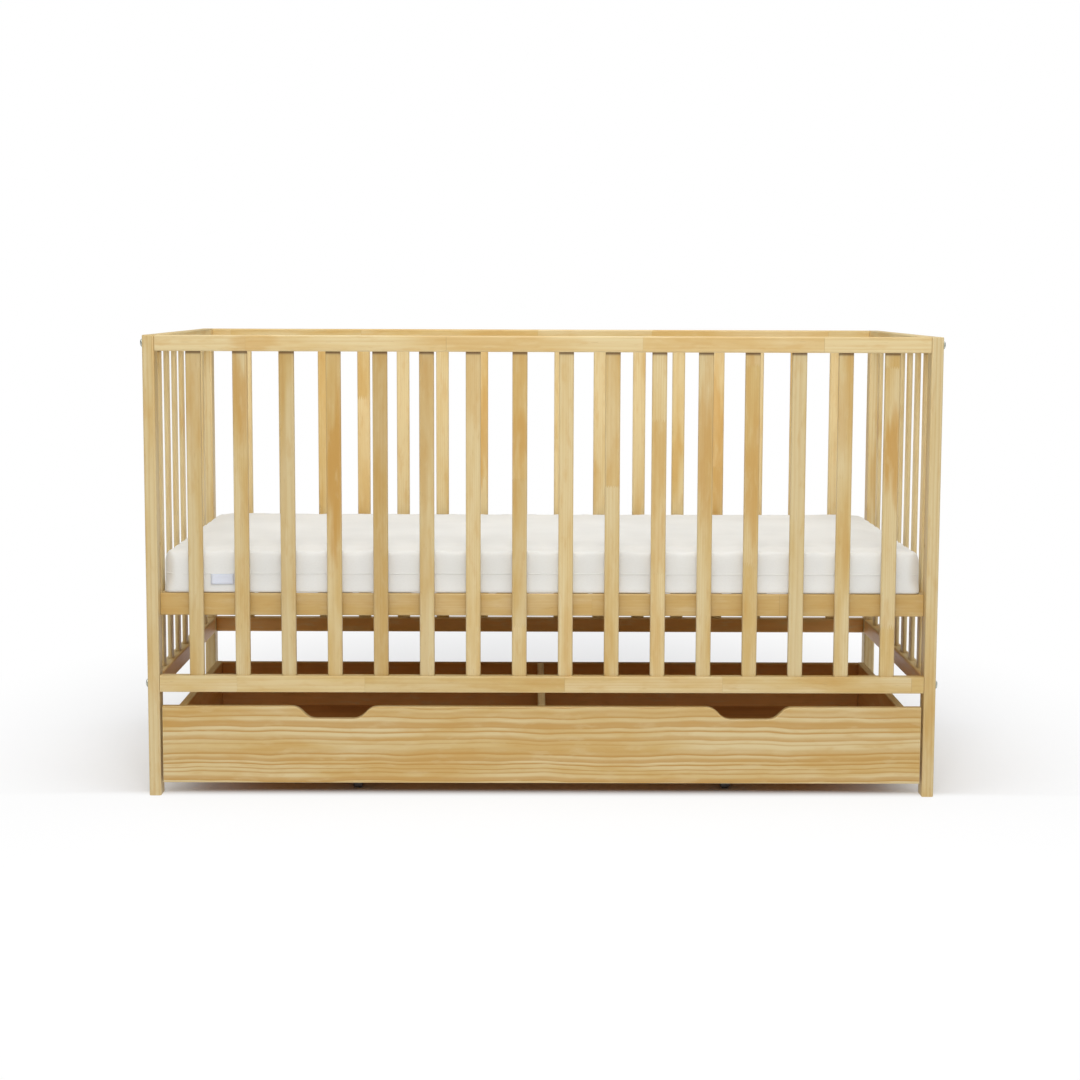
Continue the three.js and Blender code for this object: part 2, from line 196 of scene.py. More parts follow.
def growth_rings():
    """Rings of a log round its pith, cut by the board: late wood lines, fibres and dark flecks."""
    tree, b, given, taken = node_group(
        "growth rings",
        {"Ring width": 0.006, "Wave": 0.004, "Wave length": 0.25, "Spread": 0.03},
        {"Late wood": VALUE, "Fibre": VALUE, "Flecks": VALUE, "Patch": VALUE, "Mottle": VALUE,
         "Block": COLOUR, "Joint": VALUE, "Height": VALUE})
    along, across, deep = b.split(b.attribute("grain"))
    jointed = b.split(b.attribute("board"))[2]

    # Finger joints: blocks of uneven length whose ends meet in a zigzag.
    finger = b.times(b.math("PINGPONG", across, 0.0022), 3.2)
    run = b.plus(b.times(b.plus(along, finger), 3.1),
                 b.times(b.noise(b.combine(along, 0.0, 0.0), 1.7, 0.0), 1.4))
    block = b.math("FLOOR", run)
    luck = b.add("TexWhiteNoise", {"Vector": b.combine(block, 7.0, 3.0)},
                 noise_dimensions="3D").outputs["Color"]
    luck_r, luck_g, _ = b.split(luck)
    b.feed(taken["Block"], b.vector("MULTIPLY", luck, b.combine(jointed, jointed, jointed)))
    seam = b.math("ABSOLUTE", b.minus(b.math("FRACT", b.plus(run, 0.5)), 0.5))
    b.feed(taken["Joint"], b.times(b.ramp(seam, 0.0004, 0.0012, 1.0, 0.0), jointed))

    # The pith wanders along the log, and each block comes from another part of it.
    wander = b.combine(b.math("DIVIDE", along, given["Wave length"]),
                       b.times(across, 9.0), b.times(deep, 9.0))
    sway = b.vector("SUBTRACT", b.noise(wander, 1.0, 2.0, 0.5, 1), (0.5, 0.5, 0.5))
    sway_x, sway_y, _ = b.split(sway)
    shift = b.times(given["Spread"], jointed)
    side = b.plus(b.plus(across, b.times(sway_x, b.times(given["Wave"], 4.0))),
                  b.times(b.minus(luck_r, 0.5), shift))
    depth = b.plus(b.plus(deep, b.times(sway_y, b.times(given["Wave"], 4.0))),
                   b.times(b.minus(luck_g, 0.5), shift))
    radius = b.math("SQRT", b.plus(b.times(side, side), b.times(depth, depth)))
    growth = b.noise(b.combine(b.times(radius, 70.0), 5.0, 0.0), 1.0, 1.0)
    ring = b.plus(b.math("DIVIDE", radius, given["Ring width"]), b.times(growth, 2.2))
    year = b.math("FRACT", ring)
    vigour = b.add("TexWhiteNoise", {"W": b.math("FLOOR", ring)},
                   noise_dimensions="1D").outputs["Value"]
    late = b.times(b.ramp(year, 0.30, 0.90), b.ramp(year, 0.93, 1.0, 1.0, 0.0))
    late = b.times(late, b.plus(0.45, b.times(vigour, 0.55)))
    b.feed(taken["Late wood"], late)

    stretched = b.combine(b.times(along, 9.0), b.times(across, 420.0), b.times(deep, 420.0))
    fibre = b.noise(stretched, 1.0, 4.0, 0.62)
    b.feed(taken["Fibre"], fibre)
    canals = b.combine(b.times(along, 42.0), b.times(across, 900.0), b.times(deep, 900.0))
    b.feed(taken["Flecks"], b.ramp(b.noise(canals, 1.0, 1.0), 0.70, 0.78))
    clouds = b.combine(b.times(along, 3.5), b.times(side, 26.0), b.times(depth, 26.0))
    b.feed(taken["Patch"], b.noise(clouds, 1.0, 2.0, 0.5))
    curls = b.combine(b.times(along, 16.0), b.times(side, 70.0), b.times(depth, 70.0))
    b.feed(taken["Mottle"], b.noise(curls, 1.0, 3.0, 0.6))
    b.feed(taken["Height"], b.plus(b.times(late, 0.6), b.times(fibre, 0.5)))
    return tree


def heart_and_shade_streak(b):
    """The board's own streak of heartwood: where it is along the board, how long and how strong. On a board
    with a painted shade face, the streak runs the whole length of that inner face only, as painted shade.
    """
    along, across, deep = b.split(b.attribute("grain"))
    middle, reach, strength = b.split(b.attribute("heart_and_shade"))
    ragged = b.noise(b.combine(b.times(along, 9.0), b.times(across, 75.0), b.times(deep, 75.0)), 1.0, 2.0)
    away = b.math("DIVIDE", b.math("ABSOLUTE", b.minus(along, middle)), reach)
    near = b.plus(b.minus(1.0, away), b.times(b.minus(ragged, 0.5), 1.9))
    heart_and_shade_side = b.minus(1.0, b.attribute("far_from_painted_shade", "Fac"))
    return b.times(b.times(b.ramp(near, 0.0, 0.75), strength), heart_and_shade_side)


RINGS = growth_rings()


def pine(name, ring_width, wave, wave_length, bold, spread=0.05, height=0.00006, lacquer=0.18, shine=0.4,
         heart_and_shade_colour=HEART_WOOD):
    made, b, shader = material(name, coat_weight=lacquer, coat_roughness=0.32, specular_ior_level=shine)
    grain = b.group(RINGS, {"Ring width": ring_width, "Wave": wave, "Wave length": wave_length,
                            "Spread": spread})
    tone, warmth, _ = b.split(b.attribute("board"))
    block_tone, block_warmth, _ = b.split(grain["Block"])

    # Early wood runs from cream to honey in soft clouds and from block to block.
    honey = b.plus(b.ramp(grain["Patch"], 0.36, 0.66), b.times(b.minus(block_warmth, 0.4), 0.40))
    honey = b.math("ADD", honey, b.minus(warmth, 0.5), clamp=True)
    colour = b.mix(honey, CREAM_WOOD, EARLY_WOOD)
    colour = b.mix(b.math("MULTIPLY", grain["Late wood"], bold, clamp=True), colour, LATE_WOOD)
    # Heartwood streaks, blocks and patches. On a board with a painted shade face, the streak is painted shade
    # over that inner face.
    heart_and_shade = b.math("MAXIMUM", heart_and_shade_streak(b),
                   b.times(b.ramp(b.plus(block_tone, b.times(grain["Patch"], 0.3)), 0.95, 1.15), 0.3))
    heart_and_shade = b.math("MAXIMUM", heart_and_shade, b.times(b.ramp(grain["Patch"], 0.56, 0.69), 0.38))
    colour = b.mix(b.times(heart_and_shade, 0.85), colour, heart_and_shade_colour)
    colour = b.mix(b.times(b.ramp(grain["Mottle"], 0.50, 0.70), 0.28), colour, HEART_WOOD)
    colour = b.mix(b.times(b.ramp(grain["Mottle"], 0.30, 0.48, 1.0, 0.0), 0.30), colour, CREAM_WOOD)
    colour = b.mix(b.times(b.ramp(grain["Fibre"], 0.46, 0.76), 0.17), colour, LATE_WOOD)
    colour = b.mix(b.times(grain["Flecks"], 0.26), colour, KNOT_BROWN)
    colour = b.mix(b.times(grain["Joint"], 0.35), colour, KNOT_BROWN)

    # Each board has its own tone, and its rounded edges get a painted highlight, paler where they catch the
    # light.
    light = b.plus(b.plus(1.0, b.times(tone, 0.16)), b.times(b.minus(block_tone, 0.5), 0.05))
    colour = b.mix(1.0, colour, b.combine(light, light, light), "MULTIPLY")
    edge_highlight = b.attribute("edge", "Fac")
    colour = b.mix(b.times(edge_highlight, b.ramp(grain["Fibre"], 0.3, 0.7, 0.10, 0.30)), colour, CREAM_WOOD)
    # Painted shade: an upright darkens just under the rail it enters.
    colour = b.mix(b.times(b.attribute("shade", "Fac"), 0.8), colour, UNDER_RAIL_PAINTED_SHADE)
    b.feed(shader.inputs["Base Color"], colour)
    rough = b.plus(0.40, b.plus(b.times(grain["Fibre"], 0.20), b.times(grain["Late wood"], -0.07)))
    b.feed(shader.inputs["Roughness"], rough)
    raise_surface(b, shader, grain["Height"], height)
    return made


SLAT_PINE = pine("slat pine", 0.0036, 0.0016, 0.40, 0.26)
RAIL_PINE = pine("rail pine", 0.0055, 0.0022, 0.45, 0.24)
POST_PINE = pine("post pine", 0.0062, 0.0016, 0.60, 0.36)
FRONT_PINE = pine("drawer front pine", 0.0115, 0.0050, 0.20, 1.10, height=0.00010)
# Bottom rails whose inner faces carry painted shade in a red heartwood brown.
INNER_SHADE_RAIL_PINE = pine("dark rail pine", 0.0055, 0.0022, 0.45, 0.24, heart_and_shade_colour=RED_HEART_PAINTED_SHADE)
# The drawer boards' inner faces carry painted shade in a deep red heartwood brown.
BOX_PINE = pine("drawer box pine", 0.0060, 0.0030, 0.25, 0.40, lacquer=0.0, shine=0.15,
                heart_and_shade_colour=BARE_HEART_PAINTED_SHADE)


def ply_floor():
    """Rotary cut veneer: broad lazy figure over fine pores, in dark red browns that are painted shade for the
    inside of the drawer.
    """
    made, b, shader = material("ply", specular_ior_level=0.15)
    place = b.object_place()
    x, y, z = b.split(place)
    sway = b.noise(b.combine(b.times(x, 1.3), b.times(y, 5.0), z), 1.0, 2.0)
    figure = b.math("SINE", b.plus(b.times(y, 70.0), b.times(sway, 26.0)))
    pores = b.noise(b.combine(b.times(x, 28.0), b.times(y, 700.0), b.times(z, 700.0)), 1.0, 3.0)
    # Both browns are kept dark and red as painted shade for the drawer's inside.
    colour = b.mix(b.ramp(figure, -0.2, 1.0, 0.0, 0.45), (0.50, 0.22, 0.060, 1), (0.38, 0.15, 0.035, 1))
    colour = b.mix(b.times(b.ramp(pores, 0.52, 0.75), 0.35), colour, KNOT_BROWN)
    b.feed(shader.inputs["Base Color"], colour)
    b.feed(shader.inputs["Roughness"], b.plus(0.45, b.times(pores, 0.2)))
    raise_surface(b, shader, pores, 0.00005)
    return made


def plain_weave(b, place, threads, warp=(1.0, 1.0, 1.0)):
    """Height and shade of a plain weave, from two crossed rows of threads on each face."""
    x, y, z = b.split(b.vector("MULTIPLY", place, warp))
    turn = 2 * math.pi * threads
    wave_x, wave_y, wave_z = (b.math("SINE", b.times(a, turn)) for a in (x, y, z))
    return b.times(b.plus(b.plus(wave_x, wave_y), wave_z), 1 / 3)


def ticking(name, dull, bright):
    """The mattress cover: a fine knit with soft hills where the filling pushes it out."""
    made, b, shader = material(name, sheen_weight=0.25, sheen_roughness=0.5, specular_ior_level=0.25)
    place = b.object_place()
    knit = plain_weave(b, place, 420.0)
    slub = b.noise(b.vector("MULTIPLY", place, (260.0, 900.0, 500.0)), 1.0, 2.0)
    cloud = b.noise(place, 7.0, 3.0)
    colour = b.mix(b.ramp(cloud, 0.3, 0.7), dull, bright)
    colour = b.mix(b.ramp(slub, 0.45, 0.7, 0.0, 0.12), colour, (0.70, 0.69, 0.66, 1))
    b.feed(shader.inputs["Base Color"], colour)
    b.feed(shader.inputs["Roughness"], b.plus(0.86, b.times(slub, 0.1)))
    raise_surface(b, shader, b.plus(b.times(knit, 0.5), slub), 0.00012)
    return made


def webbing():
    made, b, shader = material("webbing", sheen_weight=0.2, specular_ior_level=0.2)
    place = b.object_place()
    rows = plain_weave(b, place, 360.0, (1.0, 1.6, 1.0))
    fuzz = b.noise(place, 900.0, 2.0)
    shade = b.plus(b.times(rows, 0.3), b.times(fuzz, 0.6))
    colour = b.mix(b.ramp(shade, 0.0, 0.7), (0.50, 0.45, 0.35, 1), (0.78, 0.74, 0.63, 1))
    b.feed(shader.inputs["Base Color"], colour)
    b.feed(shader.inputs["Roughness"], b.plus(0.8, b.times(fuzz, 0.15)))
    raise_surface(b, shader, rows, 0.0002)
    return made


def zinc_steel():
    """Zinc plated steel: grey green, with fine turning marks and a few dull spots."""
    made, b, shader = material("zinc steel", metallic=1.0)
    place = b.object_place()
    marks = b.noise(b.vector("MULTIPLY", place, (4000.0, 500.0, 500.0)), 1.0, 2.0)
    spots = b.noise(place, 320.0, 3.0)
    colour = b.mix(b.ramp(spots, 0.35, 0.7), (0.57, 0.60, 0.54, 1), (0.40, 0.43, 0.37, 1))
    b.feed(shader.inputs["Base Color"], colour)
    b.feed(shader.inputs["Roughness"], b.plus(0.24, b.plus(b.times(marks, 0.14), b.times(spots, 0.2))))
    raise_surface(b, shader, marks, 0.00003)
    return made


def wheel_plastic():
    """Moulded grey nylon: a faint moulding grain, scuffed dull on the tread."""
    made, b, shader = material("wheel plastic")
    place = b.object_place()
    grain = b.noise(place, 1400.0, 2.0)
    scuff = b.noise(b.vector("MULTIPLY", place, (90.0, 300.0, 300.0)), 1.0, 3.0)
    colour = b.mix(b.ramp(scuff, 0.4, 0.75), (0.105, 0.105, 0.110, 1), (0.20, 0.20, 0.20, 1))
    b.feed(shader.inputs["Base Color"], colour)
    b.feed(shader.inputs["Roughness"], b.plus(0.36, b.times(scuff, 0.35)))
    raise_surface(b, shader, grain, 0.00004)
    return made


PLY = ply_floor()
TICKING = ticking("ticking", (0.790, 0.795, 0.775, 1), (0.845, 0.850, 0.830, 1))
TAG_RIBBON = ticking("tag ribbon", (0.66, 0.70, 0.80, 1), (0.74, 0.78, 0.88, 1))
WEBBING = webbing()
STEEL = zinc_steel()
WHEEL = wheel_plastic()


# ---- Shaping with bmesh ----
def bevel(bm, edges, offset, segments):
    bmesh.ops.bevel(bm, geom=edges, offset=offset, offset_type="OFFSET", segments=segments,
                    profile=0.5, affect="EDGES", material=-1, clamp_overlap=True)
    bm.normal_update()


def runs_along(edge, axis):
    way = edge.verts[1].co - edge.verts[0].co
    return way.length > 0 and abs(way.normalized()[axis]) > 0.99


def end_edges(bm, axis):
    """The edges round the faces that close a board's ends."""
    return [e for e in bm.edges if any(abs(f.normal[axis]) > 0.99 for f in e.link_faces)]


def block(low, high):
    bm = bmesh.new()
    bmesh.ops.create_cube(bm, size=1)
    bmesh.ops.scale(bm, vec=Vector(high) - Vector(low), verts=bm.verts)
    bmesh.ops.translate(bm, vec=(Vector(high) + Vector(low)) / 2, verts=bm.verts)
    bm.normal_update()
    return bm


def planed_board(low, high, along, edge=EDGE, arris=ARRIS, steps=4):
    bm = block(low, high)
    bevel(bm, [e for e in bm.edges if runs_along(e, along)], edge, steps)
    if arris:
        bevel(bm, end_edges(bm, along), arris, 2)
    return bm


def drawn_bar(outline, along, start, end):
    """A closed outline, in the other two axes, drawn out from start to end."""
    first, second = [a for a in (X, Y, Z) if a != along]
    bm = bmesh.new()
    corners = []
    for a, c in outline:
        spot = Vector((0, 0, 0))
        spot[first], spot[second], spot[along] = a, c, start
        corners.append(bm.verts.new(spot))
    face = bm.faces.new(corners)
    drawn = bmesh.ops.extrude_face_region(bm, geom=[face], use_keep_orig=True)["geom"]
    moved = [v for v in drawn if isinstance(v, bmesh.types.BMVert)]
    bmesh.ops.translate(bm, vec=AXES[along] * (end - start), verts=moved)
    bmesh.ops.recalc_face_normals(bm, faces=bm.faces)
    bm.normal_update()
    return bm


def face_at(bm, spot, outward):
    """The flat face that looks outward and holds the spot."""
    for face in bm.faces:
        if (face.normal.dot(outward) > 0.999 and abs((spot - face.verts[0].co).dot(outward)) < 1e-5
                and bmesh.geometry.intersect_face_point(face, spot)):
            return face
    raise ValueError(f"no face at {tuple(spot)}")


def marked_patch(bm, spot, outward, half):
    """Scores a rectangle on the face at the spot, half a size each way, and returns it."""
    for axis in (X, Y, Z):
        if abs(outward[axis]) > 0.5:
            continue
        for way in (-1, 1):
            face = face_at(bm, spot, outward)
            bmesh.ops.bisect_plane(bm, geom=[face, *face.edges, *face.verts], dist=1e-7,
                                   plane_co=spot + AXES[axis] * way * half[axis], plane_no=AXES[axis])
            bm.normal_update()
    return face_at(bm, spot, outward)


def sink(bm, face, inward, depth):
    drawn = bmesh.ops.extrude_face_region(bm, geom=[face])["geom"]
    bmesh.ops.translate(bm, vec=inward * depth, verts=[v for v in drawn if isinstance(v, bmesh.types.BMVert)])
    bmesh.ops.delete(bm, geom=[face], context="FACES_ONLY")     # opens the mouth of the hole
    bmesh.ops.recalc_face_normals(bm, faces=bm.faces)
    bm.normal_update()


def mortise(bm, spot, outward, half, depth):
    sink(bm, marked_patch(bm, spot, outward, half), -outward, depth)


HOLE_CUTS = 3           # cuts in each side of the square that becomes a round hole


def round_rim(bm, spot, outward, radius):
    """Scores a circle on the face at the spot and returns the disc inside it."""
    room = Vector((1, 1, 1)) * radius * 1.12
    face = marked_patch(bm, spot, outward, room)
    bmesh.ops.inset_region(bm, faces=[face], thickness=radius * 0.35)
    bm.normal_update()
    face = face_at(bm, spot, outward)
    bmesh.ops.subdivide_edges(bm, edges=list(face.edges), cuts=HOLE_CUTS)
    face = face_at(bm, spot, outward)
    corner = max(face.verts, key=lambda v: (v.co - spot).length)
    ring = list(face.verts)
    at = ring.index(corner)
    start = (corner.co - spot).normalized() * radius
    for step in range(len(ring)):
        turn = Matrix.Rotation(2 * math.pi * step / len(ring), 3, outward)
        ring[(at + step) % len(ring)].co = spot + turn @ start
    bm.normal_update()
    return face


def drill(bm, spot, outward, radius, depth):
    sink(bm, round_rim(bm, spot, outward, radius), -outward, depth)


def drill_through(bm, spot, outward, radius, thickness):
    near = round_rim(bm, spot, outward, radius)
    near_edges = list(near.edges)
    far = round_rim(bm, spot - outward * thickness, -outward, radius)
    far_edges = list(far.edges)
    bmesh.ops.delete(bm, geom=[near, far], context="FACES_ONLY")
    bmesh.ops.bridge_loops(bm, edges=near_edges + far_edges)
    bm.normal_update()


def turned(profile, axis, centre, steps=24):
    """A profile of (radius, way along the axis) points spun round the axis."""
    bm = bmesh.new()
    side = AXES[(axis + 1) % 3]
    points = [bm.verts.new(side * r + AXES[axis] * a) for r, a in profile]
    edges = [bm.edges.new(pair) for pair in zip(points, points[1:])]
    bmesh.ops.spin(bm, geom=points + edges, cent=(0, 0, 0), axis=AXES[axis], angle=2 * math.pi,
                   steps=steps, use_merge=True)
    bmesh.ops.remove_doubles(bm, verts=bm.verts, dist=1e-6)
    bmesh.ops.recalc_face_normals(bm, faces=bm.faces)
    bmesh.ops.translate(bm, vec=centre, verts=bm.verts)
    bm.normal_update()
    return bm


def joined(*shapes):
    whole = bmesh.new()
    for shape in shapes:
        mesh = bpy.data.meshes.new("part")
        shape.to_mesh(mesh)
        shape.free()
        whole.from_mesh(mesh)
        bpy.data.meshes.remove(mesh)
    whole.normal_update()
    return whole


def piece(name, bm, finish, body, *nodes, sharp=40):
    """Makes the object, smooth but for its sharp edges, and puts it in the frame."""
    mesh = bpy.data.meshes.new(name)
    for face in bm.faces:
        face.smooth = True
    for edge in bm.edges:
        if len(edge.link_faces) == 2 and edge.calc_face_angle(0.0) > math.radians(sharp):
            edge.smooth = False
    bm.to_mesh(mesh)
    bm.free()
    mesh.materials.append(finish)
    made = bpy.data.objects.new(name, mesh)
    bpy.context.scene.collection.objects.link(made)
    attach(made, body)
    if nodes:
        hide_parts(*nodes)
    return made


def constant(mesh, name, vector):
    made = mesh.attributes.new(name, "FLOAT_VECTOR", "POINT")
    made.data.foreach_set("vector", list(vector) * len(mesh.vertices))


# Painted shade under a rail: full for the first 2.5 mm, fading out by 6 mm.
SHADE_DARK, SHADE_FADE = 2.5 * MM, 6 * MM


def wooden(name, bm, finish, body, *nodes, along, look=None, under=None):
    """A wooden piece with its own place in the log, its own tone and flat faces kept flat.

    An upright that enters a rail gets a painted shade just under it, a darker band where no light gets in."""
    if under is not None:
        for drop in (0, SHADE_DARK, SHADE_FADE):
            bmesh.ops.bisect_plane(bm, geom=[*bm.verts, *bm.edges, *bm.faces], dist=1e-7,
                                   plane_co=UP * (under - drop), plane_no=UP)
        bm.normal_update()
    luck = random.Random(name)
    draws = [luck.random() for _ in range(9)]
    look = look or {}
    tone = look.get("tone", 1.6 * draws[0] - 0.8)
    warmth = look.get("warmth", 0.2 + 0.6 * draws[1])
    is_jointed = look.get("jointed", draws[2] < 0.35)
    middle, reach, strength = look.get("heart_and_shade", (2 * draws[3] - 1, 0.10 + 0.12 * draws[4],
                                                 0.75 if draws[5] < 0.25 else 0.0))
    pith_angle, pith_far = look.get("pith", (2 * math.pi * draws[6], 0.03 + 0.07 * draws[7]))
    shift = 20 * draws[8]

    mesh_faces = bm.faces
    flat = [any(abs(c) > 0.9999 for c in face.normal) for face in mesh_faces]
    made = piece(name, bm, finish, body, *nodes)
    mesh = made.data
    for polygon, is_flat in zip(mesh.polygons, flat):
        polygon.use_smooth = not is_flat
    # Rounded faces are marked for the painted highlight along the edges.
    edge = mesh.attributes.new("edge", "FLOAT", "FACE")
    edge.data.foreach_set("value", [0.0 if is_flat else 1.0 for is_flat in flat])

    low, high = (Vector(c) for c in (made.bound_box[0], made.bound_box[6]))
    centre = (low + high) / 2
    first, second = [a for a in (X, Y, Z) if a != along]
    pith = Vector((pith_far * math.cos(pith_angle), pith_far * math.sin(pith_angle)))
    grain = mesh.attributes.new("grain", "FLOAT_VECTOR", "POINT")
    flow = []
    for vertex in mesh.vertices:
        away = vertex.co - centre
        flow += [away[along] + shift, away[first] - pith.x, away[second] - pith.y]
    grain.data.foreach_set("vector", flow)
    constant(mesh, "board", (tone, warmth, 1.0 if is_jointed else 0.0))
    if "painted_shade_face" in look:        # painted shade: the heartwood colour is kept to the inner face, where shade falls
        toward = Vector(look["painted_shade_face"])
        half_thick = abs((high - low).dot(toward)) / 2
        far_from_painted_shade = mesh.attributes.new("far_from_painted_shade", "FLOAT", "POINT")
        depths = [1 - (v.co - centre).dot(toward) / half_thick for v in mesh.vertices]
        far_from_painted_shade.data.foreach_set("value", [min(1.0, depth * 3) for depth in depths])
    # Painted shade: marks the band of the upright just under its rail.
    if under is not None:
        shade = mesh.attributes.new("shade", "FLOAT", "POINT")
        shade.data.foreach_set("value", [1.0 if v.co.z > under - (SHADE_DARK + SHADE_FADE) / 2 else 0.0
                                         for v in mesh.vertices])
    constant(mesh, "heart_and_shade", (shift + middle * (high - low)[along] / 2, reach, strength))
    return made


# ---- Sides: top and bottom rails and upright slats ----
TOP, BOTTOM = "top", "bottom"
BOLT_HOLE = 3.3 * MM
BOLT_GRIP = 45.3 * MM
NUT_HOLE = 5.3 * MM
NUT_SETBACK = 34 * MM
NUT_HOLE_DEPTH = 17 * MM


def middle_of(node):
    low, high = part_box(node)
    return (low + high) / 2


def bore_ends(bm, low, high, nut_side):
    """Bolt holes in both ends of a long rail, and nut holes across them, open on one side."""
    centre = (low + high) / 2
    for way, x in ((-1, low.x), (1, high.x)):
        drill(bm, Vector((x, centre.y, centre.z)), AXES[X] * way, BOLT_HOLE, BOLT_GRIP)
        face_y = high.y if nut_side.y > 0 else low.y
        depth = min(NUT_HOLE_DEPTH, (high.y - low.y) - 2 * MM)
        drill(bm, Vector((x - way * NUT_SETBACK, face_y, centre.z)), nut_side, NUT_HOLE, depth)


slat_boxes = [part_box(f"front_slat_{number:02d}") for number in range(1, 17)]
SLAT_HALF = (slat_boxes[0][1] - slat_boxes[0][0]) / 2


def side_rail(name, low, high, level, slats, node, look, finish=RAIL_PINE):
    bm = planed_board(low, high, X)
    face_z, outward = (low.z, -UP) if level == TOP else (high.z, UP)
    half = Vector((SLAT_HALF.x + GAP, SLAT_HALF.y + GAP, 0))
    for spot in slats:
        mortise(bm, Vector((spot.x, spot.y, face_z)), outward, half, TENON + GAP)
    bore_ends(bm, low, high, AXES[Y])       # both sides have their nut holes at the back
    return wooden(name, bm, finish, "frame", node, along=X, look=look)


# Tone, warmth and heartwood of the boards that catch the eye.
LOOK_KEYS = ("tone", "warmth", "jointed", "heart_and_shade")
FRONT_SLAT_LOOKS = [
    (-0.35, 0.6, False, (0.62, 0.12, 0.35)),
    (-0.2, 0.6, False, (0.72, 0.10, 0.75)),
    (-0.45, 0.75, False, (0, 0.1, 0.0)),
    (-0.1, 0.7, False, (0.28, 0.20, 1.0)),
    (-0.6, 1.0, False, (0, 2.0, 0.35)),
    (-0.25, 0.2, False, (0.86, 0.06, 0.5)),
    (0.2, 0.35, False, (0.8, 0.12, 0.3)),
    (-0.2, 0.5, True, (0.47, 0.07, 0.8)),
    (0.25, 0.2, False, (0, 0.1, 0.0)),
    (-0.15, 0.5, True, (0, 0.1, 0.0)),
    (0.1, 0.1, True, (-0.2, 0.1, 0.3)),
    (0.0, 0.6, False, (0.42, 0.18, 0.7)),
    (-0.1, 0.7, True, (0.25, 0.16, 0.7)),
    (-0.2, 0.3, False, (0, 0.1, 0.0)),
    (0.0, 0.6, False, (0.65, 0.10, 0.4)),
    (-0.1, 0.5, True, (0.36, 0.10, 0.95)),
]


def front_side():
    spots = [(low + high) / 2 for low, high in slat_boxes]
    for level in (TOP, BOTTOM):
        node = f"front_{level}_rail"
        low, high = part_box(node)
        look = {"tone": 0.35, "warmth": 0.0, "jointed": True, "pith": (0.6, 0.075),
                "heart_and_shade": (-0.74, 0.05, 0.55)} if level == TOP else {
                "tone": -0.1, "warmth": 0.55, "jointed": True, "pith": (0.9, 0.06), "heart_and_shade": (0, 0.1, 0)}
        side_rail(node, low, high, level, spots, node, look)
    for number, (low, high) in enumerate(slat_boxes, 1):
        name = f"front_slat_{number:02d}"
        wooden(name, planed_board(low, high, Z), SLAT_PINE, "frame", name, along=Z,
               look=dict(zip(LOOK_KEYS, FRONT_SLAT_LOOKS[number - 1])), under=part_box("front_top_rail")[0].z)


def back_side():
    to_back = Vector((0, -2 * slat_boxes[0][0].y - (slat_boxes[0][1] - slat_boxes[0][0]).y, 0))
    node = "back_bottom_rail_with_slats"
    boxes = [(low + to_back, high + to_back) for low, high in slat_boxes]
    spots = [(low + high) / 2 for low, high in boxes]
    low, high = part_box("back_top_rail")
    side_rail("back_top_rail", low, high, TOP, spots, "back_top_rail",
              {"tone": 0.5, "warmth": 0.5, "jointed": True, "heart_and_shade": (0, 0.1, 0)})
    front_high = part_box("front_bottom_rail")[1]
    low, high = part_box(node)
    # Painted shade: the back bottom rail's inner face is coloured a red heartwood brown along its whole
    # length.
    side_rail("back_bottom_rail", low, Vector((high.x, high.y, front_high.z)), BOTTOM, spots, node,
              {"tone": -0.3, "warmth": 1.0, "jointed": False, "heart_and_shade": (0, 3.0, 0.9),
               "painted_shade_face": (0, -1, 0)}, INNER_SHADE_RAIL_PINE)
    for number, (low, high) in enumerate(boxes, 1):
        look = {"tone": 1.05, "warmth": 0.15 if number % 3 else 0.6}
        wooden(f"back_slat_{number:02d}", planed_board(low, high, Z), SLAT_PINE, "frame", node,
               along=Z, look=look, under=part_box("back_top_rail")[0].z)


# ---- Ends: posts, top rails, bottom rails and slats ----
SPARE_HOLES = (-110 * MM, 110 * MM)
FOOT_ARRIS = 1.6 * MM


def corner_posts():
    for y_name, y_way in (("front", -1), ("back", 1)):
        for x_name, x_way in (("left", -1), ("right", 1)):
            name = f"{y_name}_{x_name}_post"
            low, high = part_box(name)
            bm = planed_board(low, high, Z, arris=FOOT_ARRIS, steps=5)
            outward = AXES[X] * x_way
            face_x = high.x if x_way > 0 else low.x
            base_bolt = middle_of(f"bolt_{y_name}_{x_name}_base_rail")
            bolts = [middle_of(f"bolt_{y_name}_{x_name}_{level}") for level in ("top_rail", "bottom_rail")]
            heights = [base_bolt + UP * step for step in (0, *SPARE_HOLES)]
            for bolt in (*bolts, *heights):
                drill_through(bm, Vector((face_x, bolt.y, bolt.z)), outward, BOLT_HOLE, high.x - low.x)
            wooden(name, bm, POST_PINE, "frame", name, along=Z,
                   look={"tone": -0.15 if y_way < 0 else 0.9,
                         "warmth": 0.45 if y_way < 0 else 0.1, "jointed": False,
                         "pith": (math.radians(200 + 40 * x_way), 0.045)})


END_SLATS = 7
END_SLAT_HALF = Vector((4, 13.5, 0)) * MM
END_SLAT_FIRST = 60 * MM


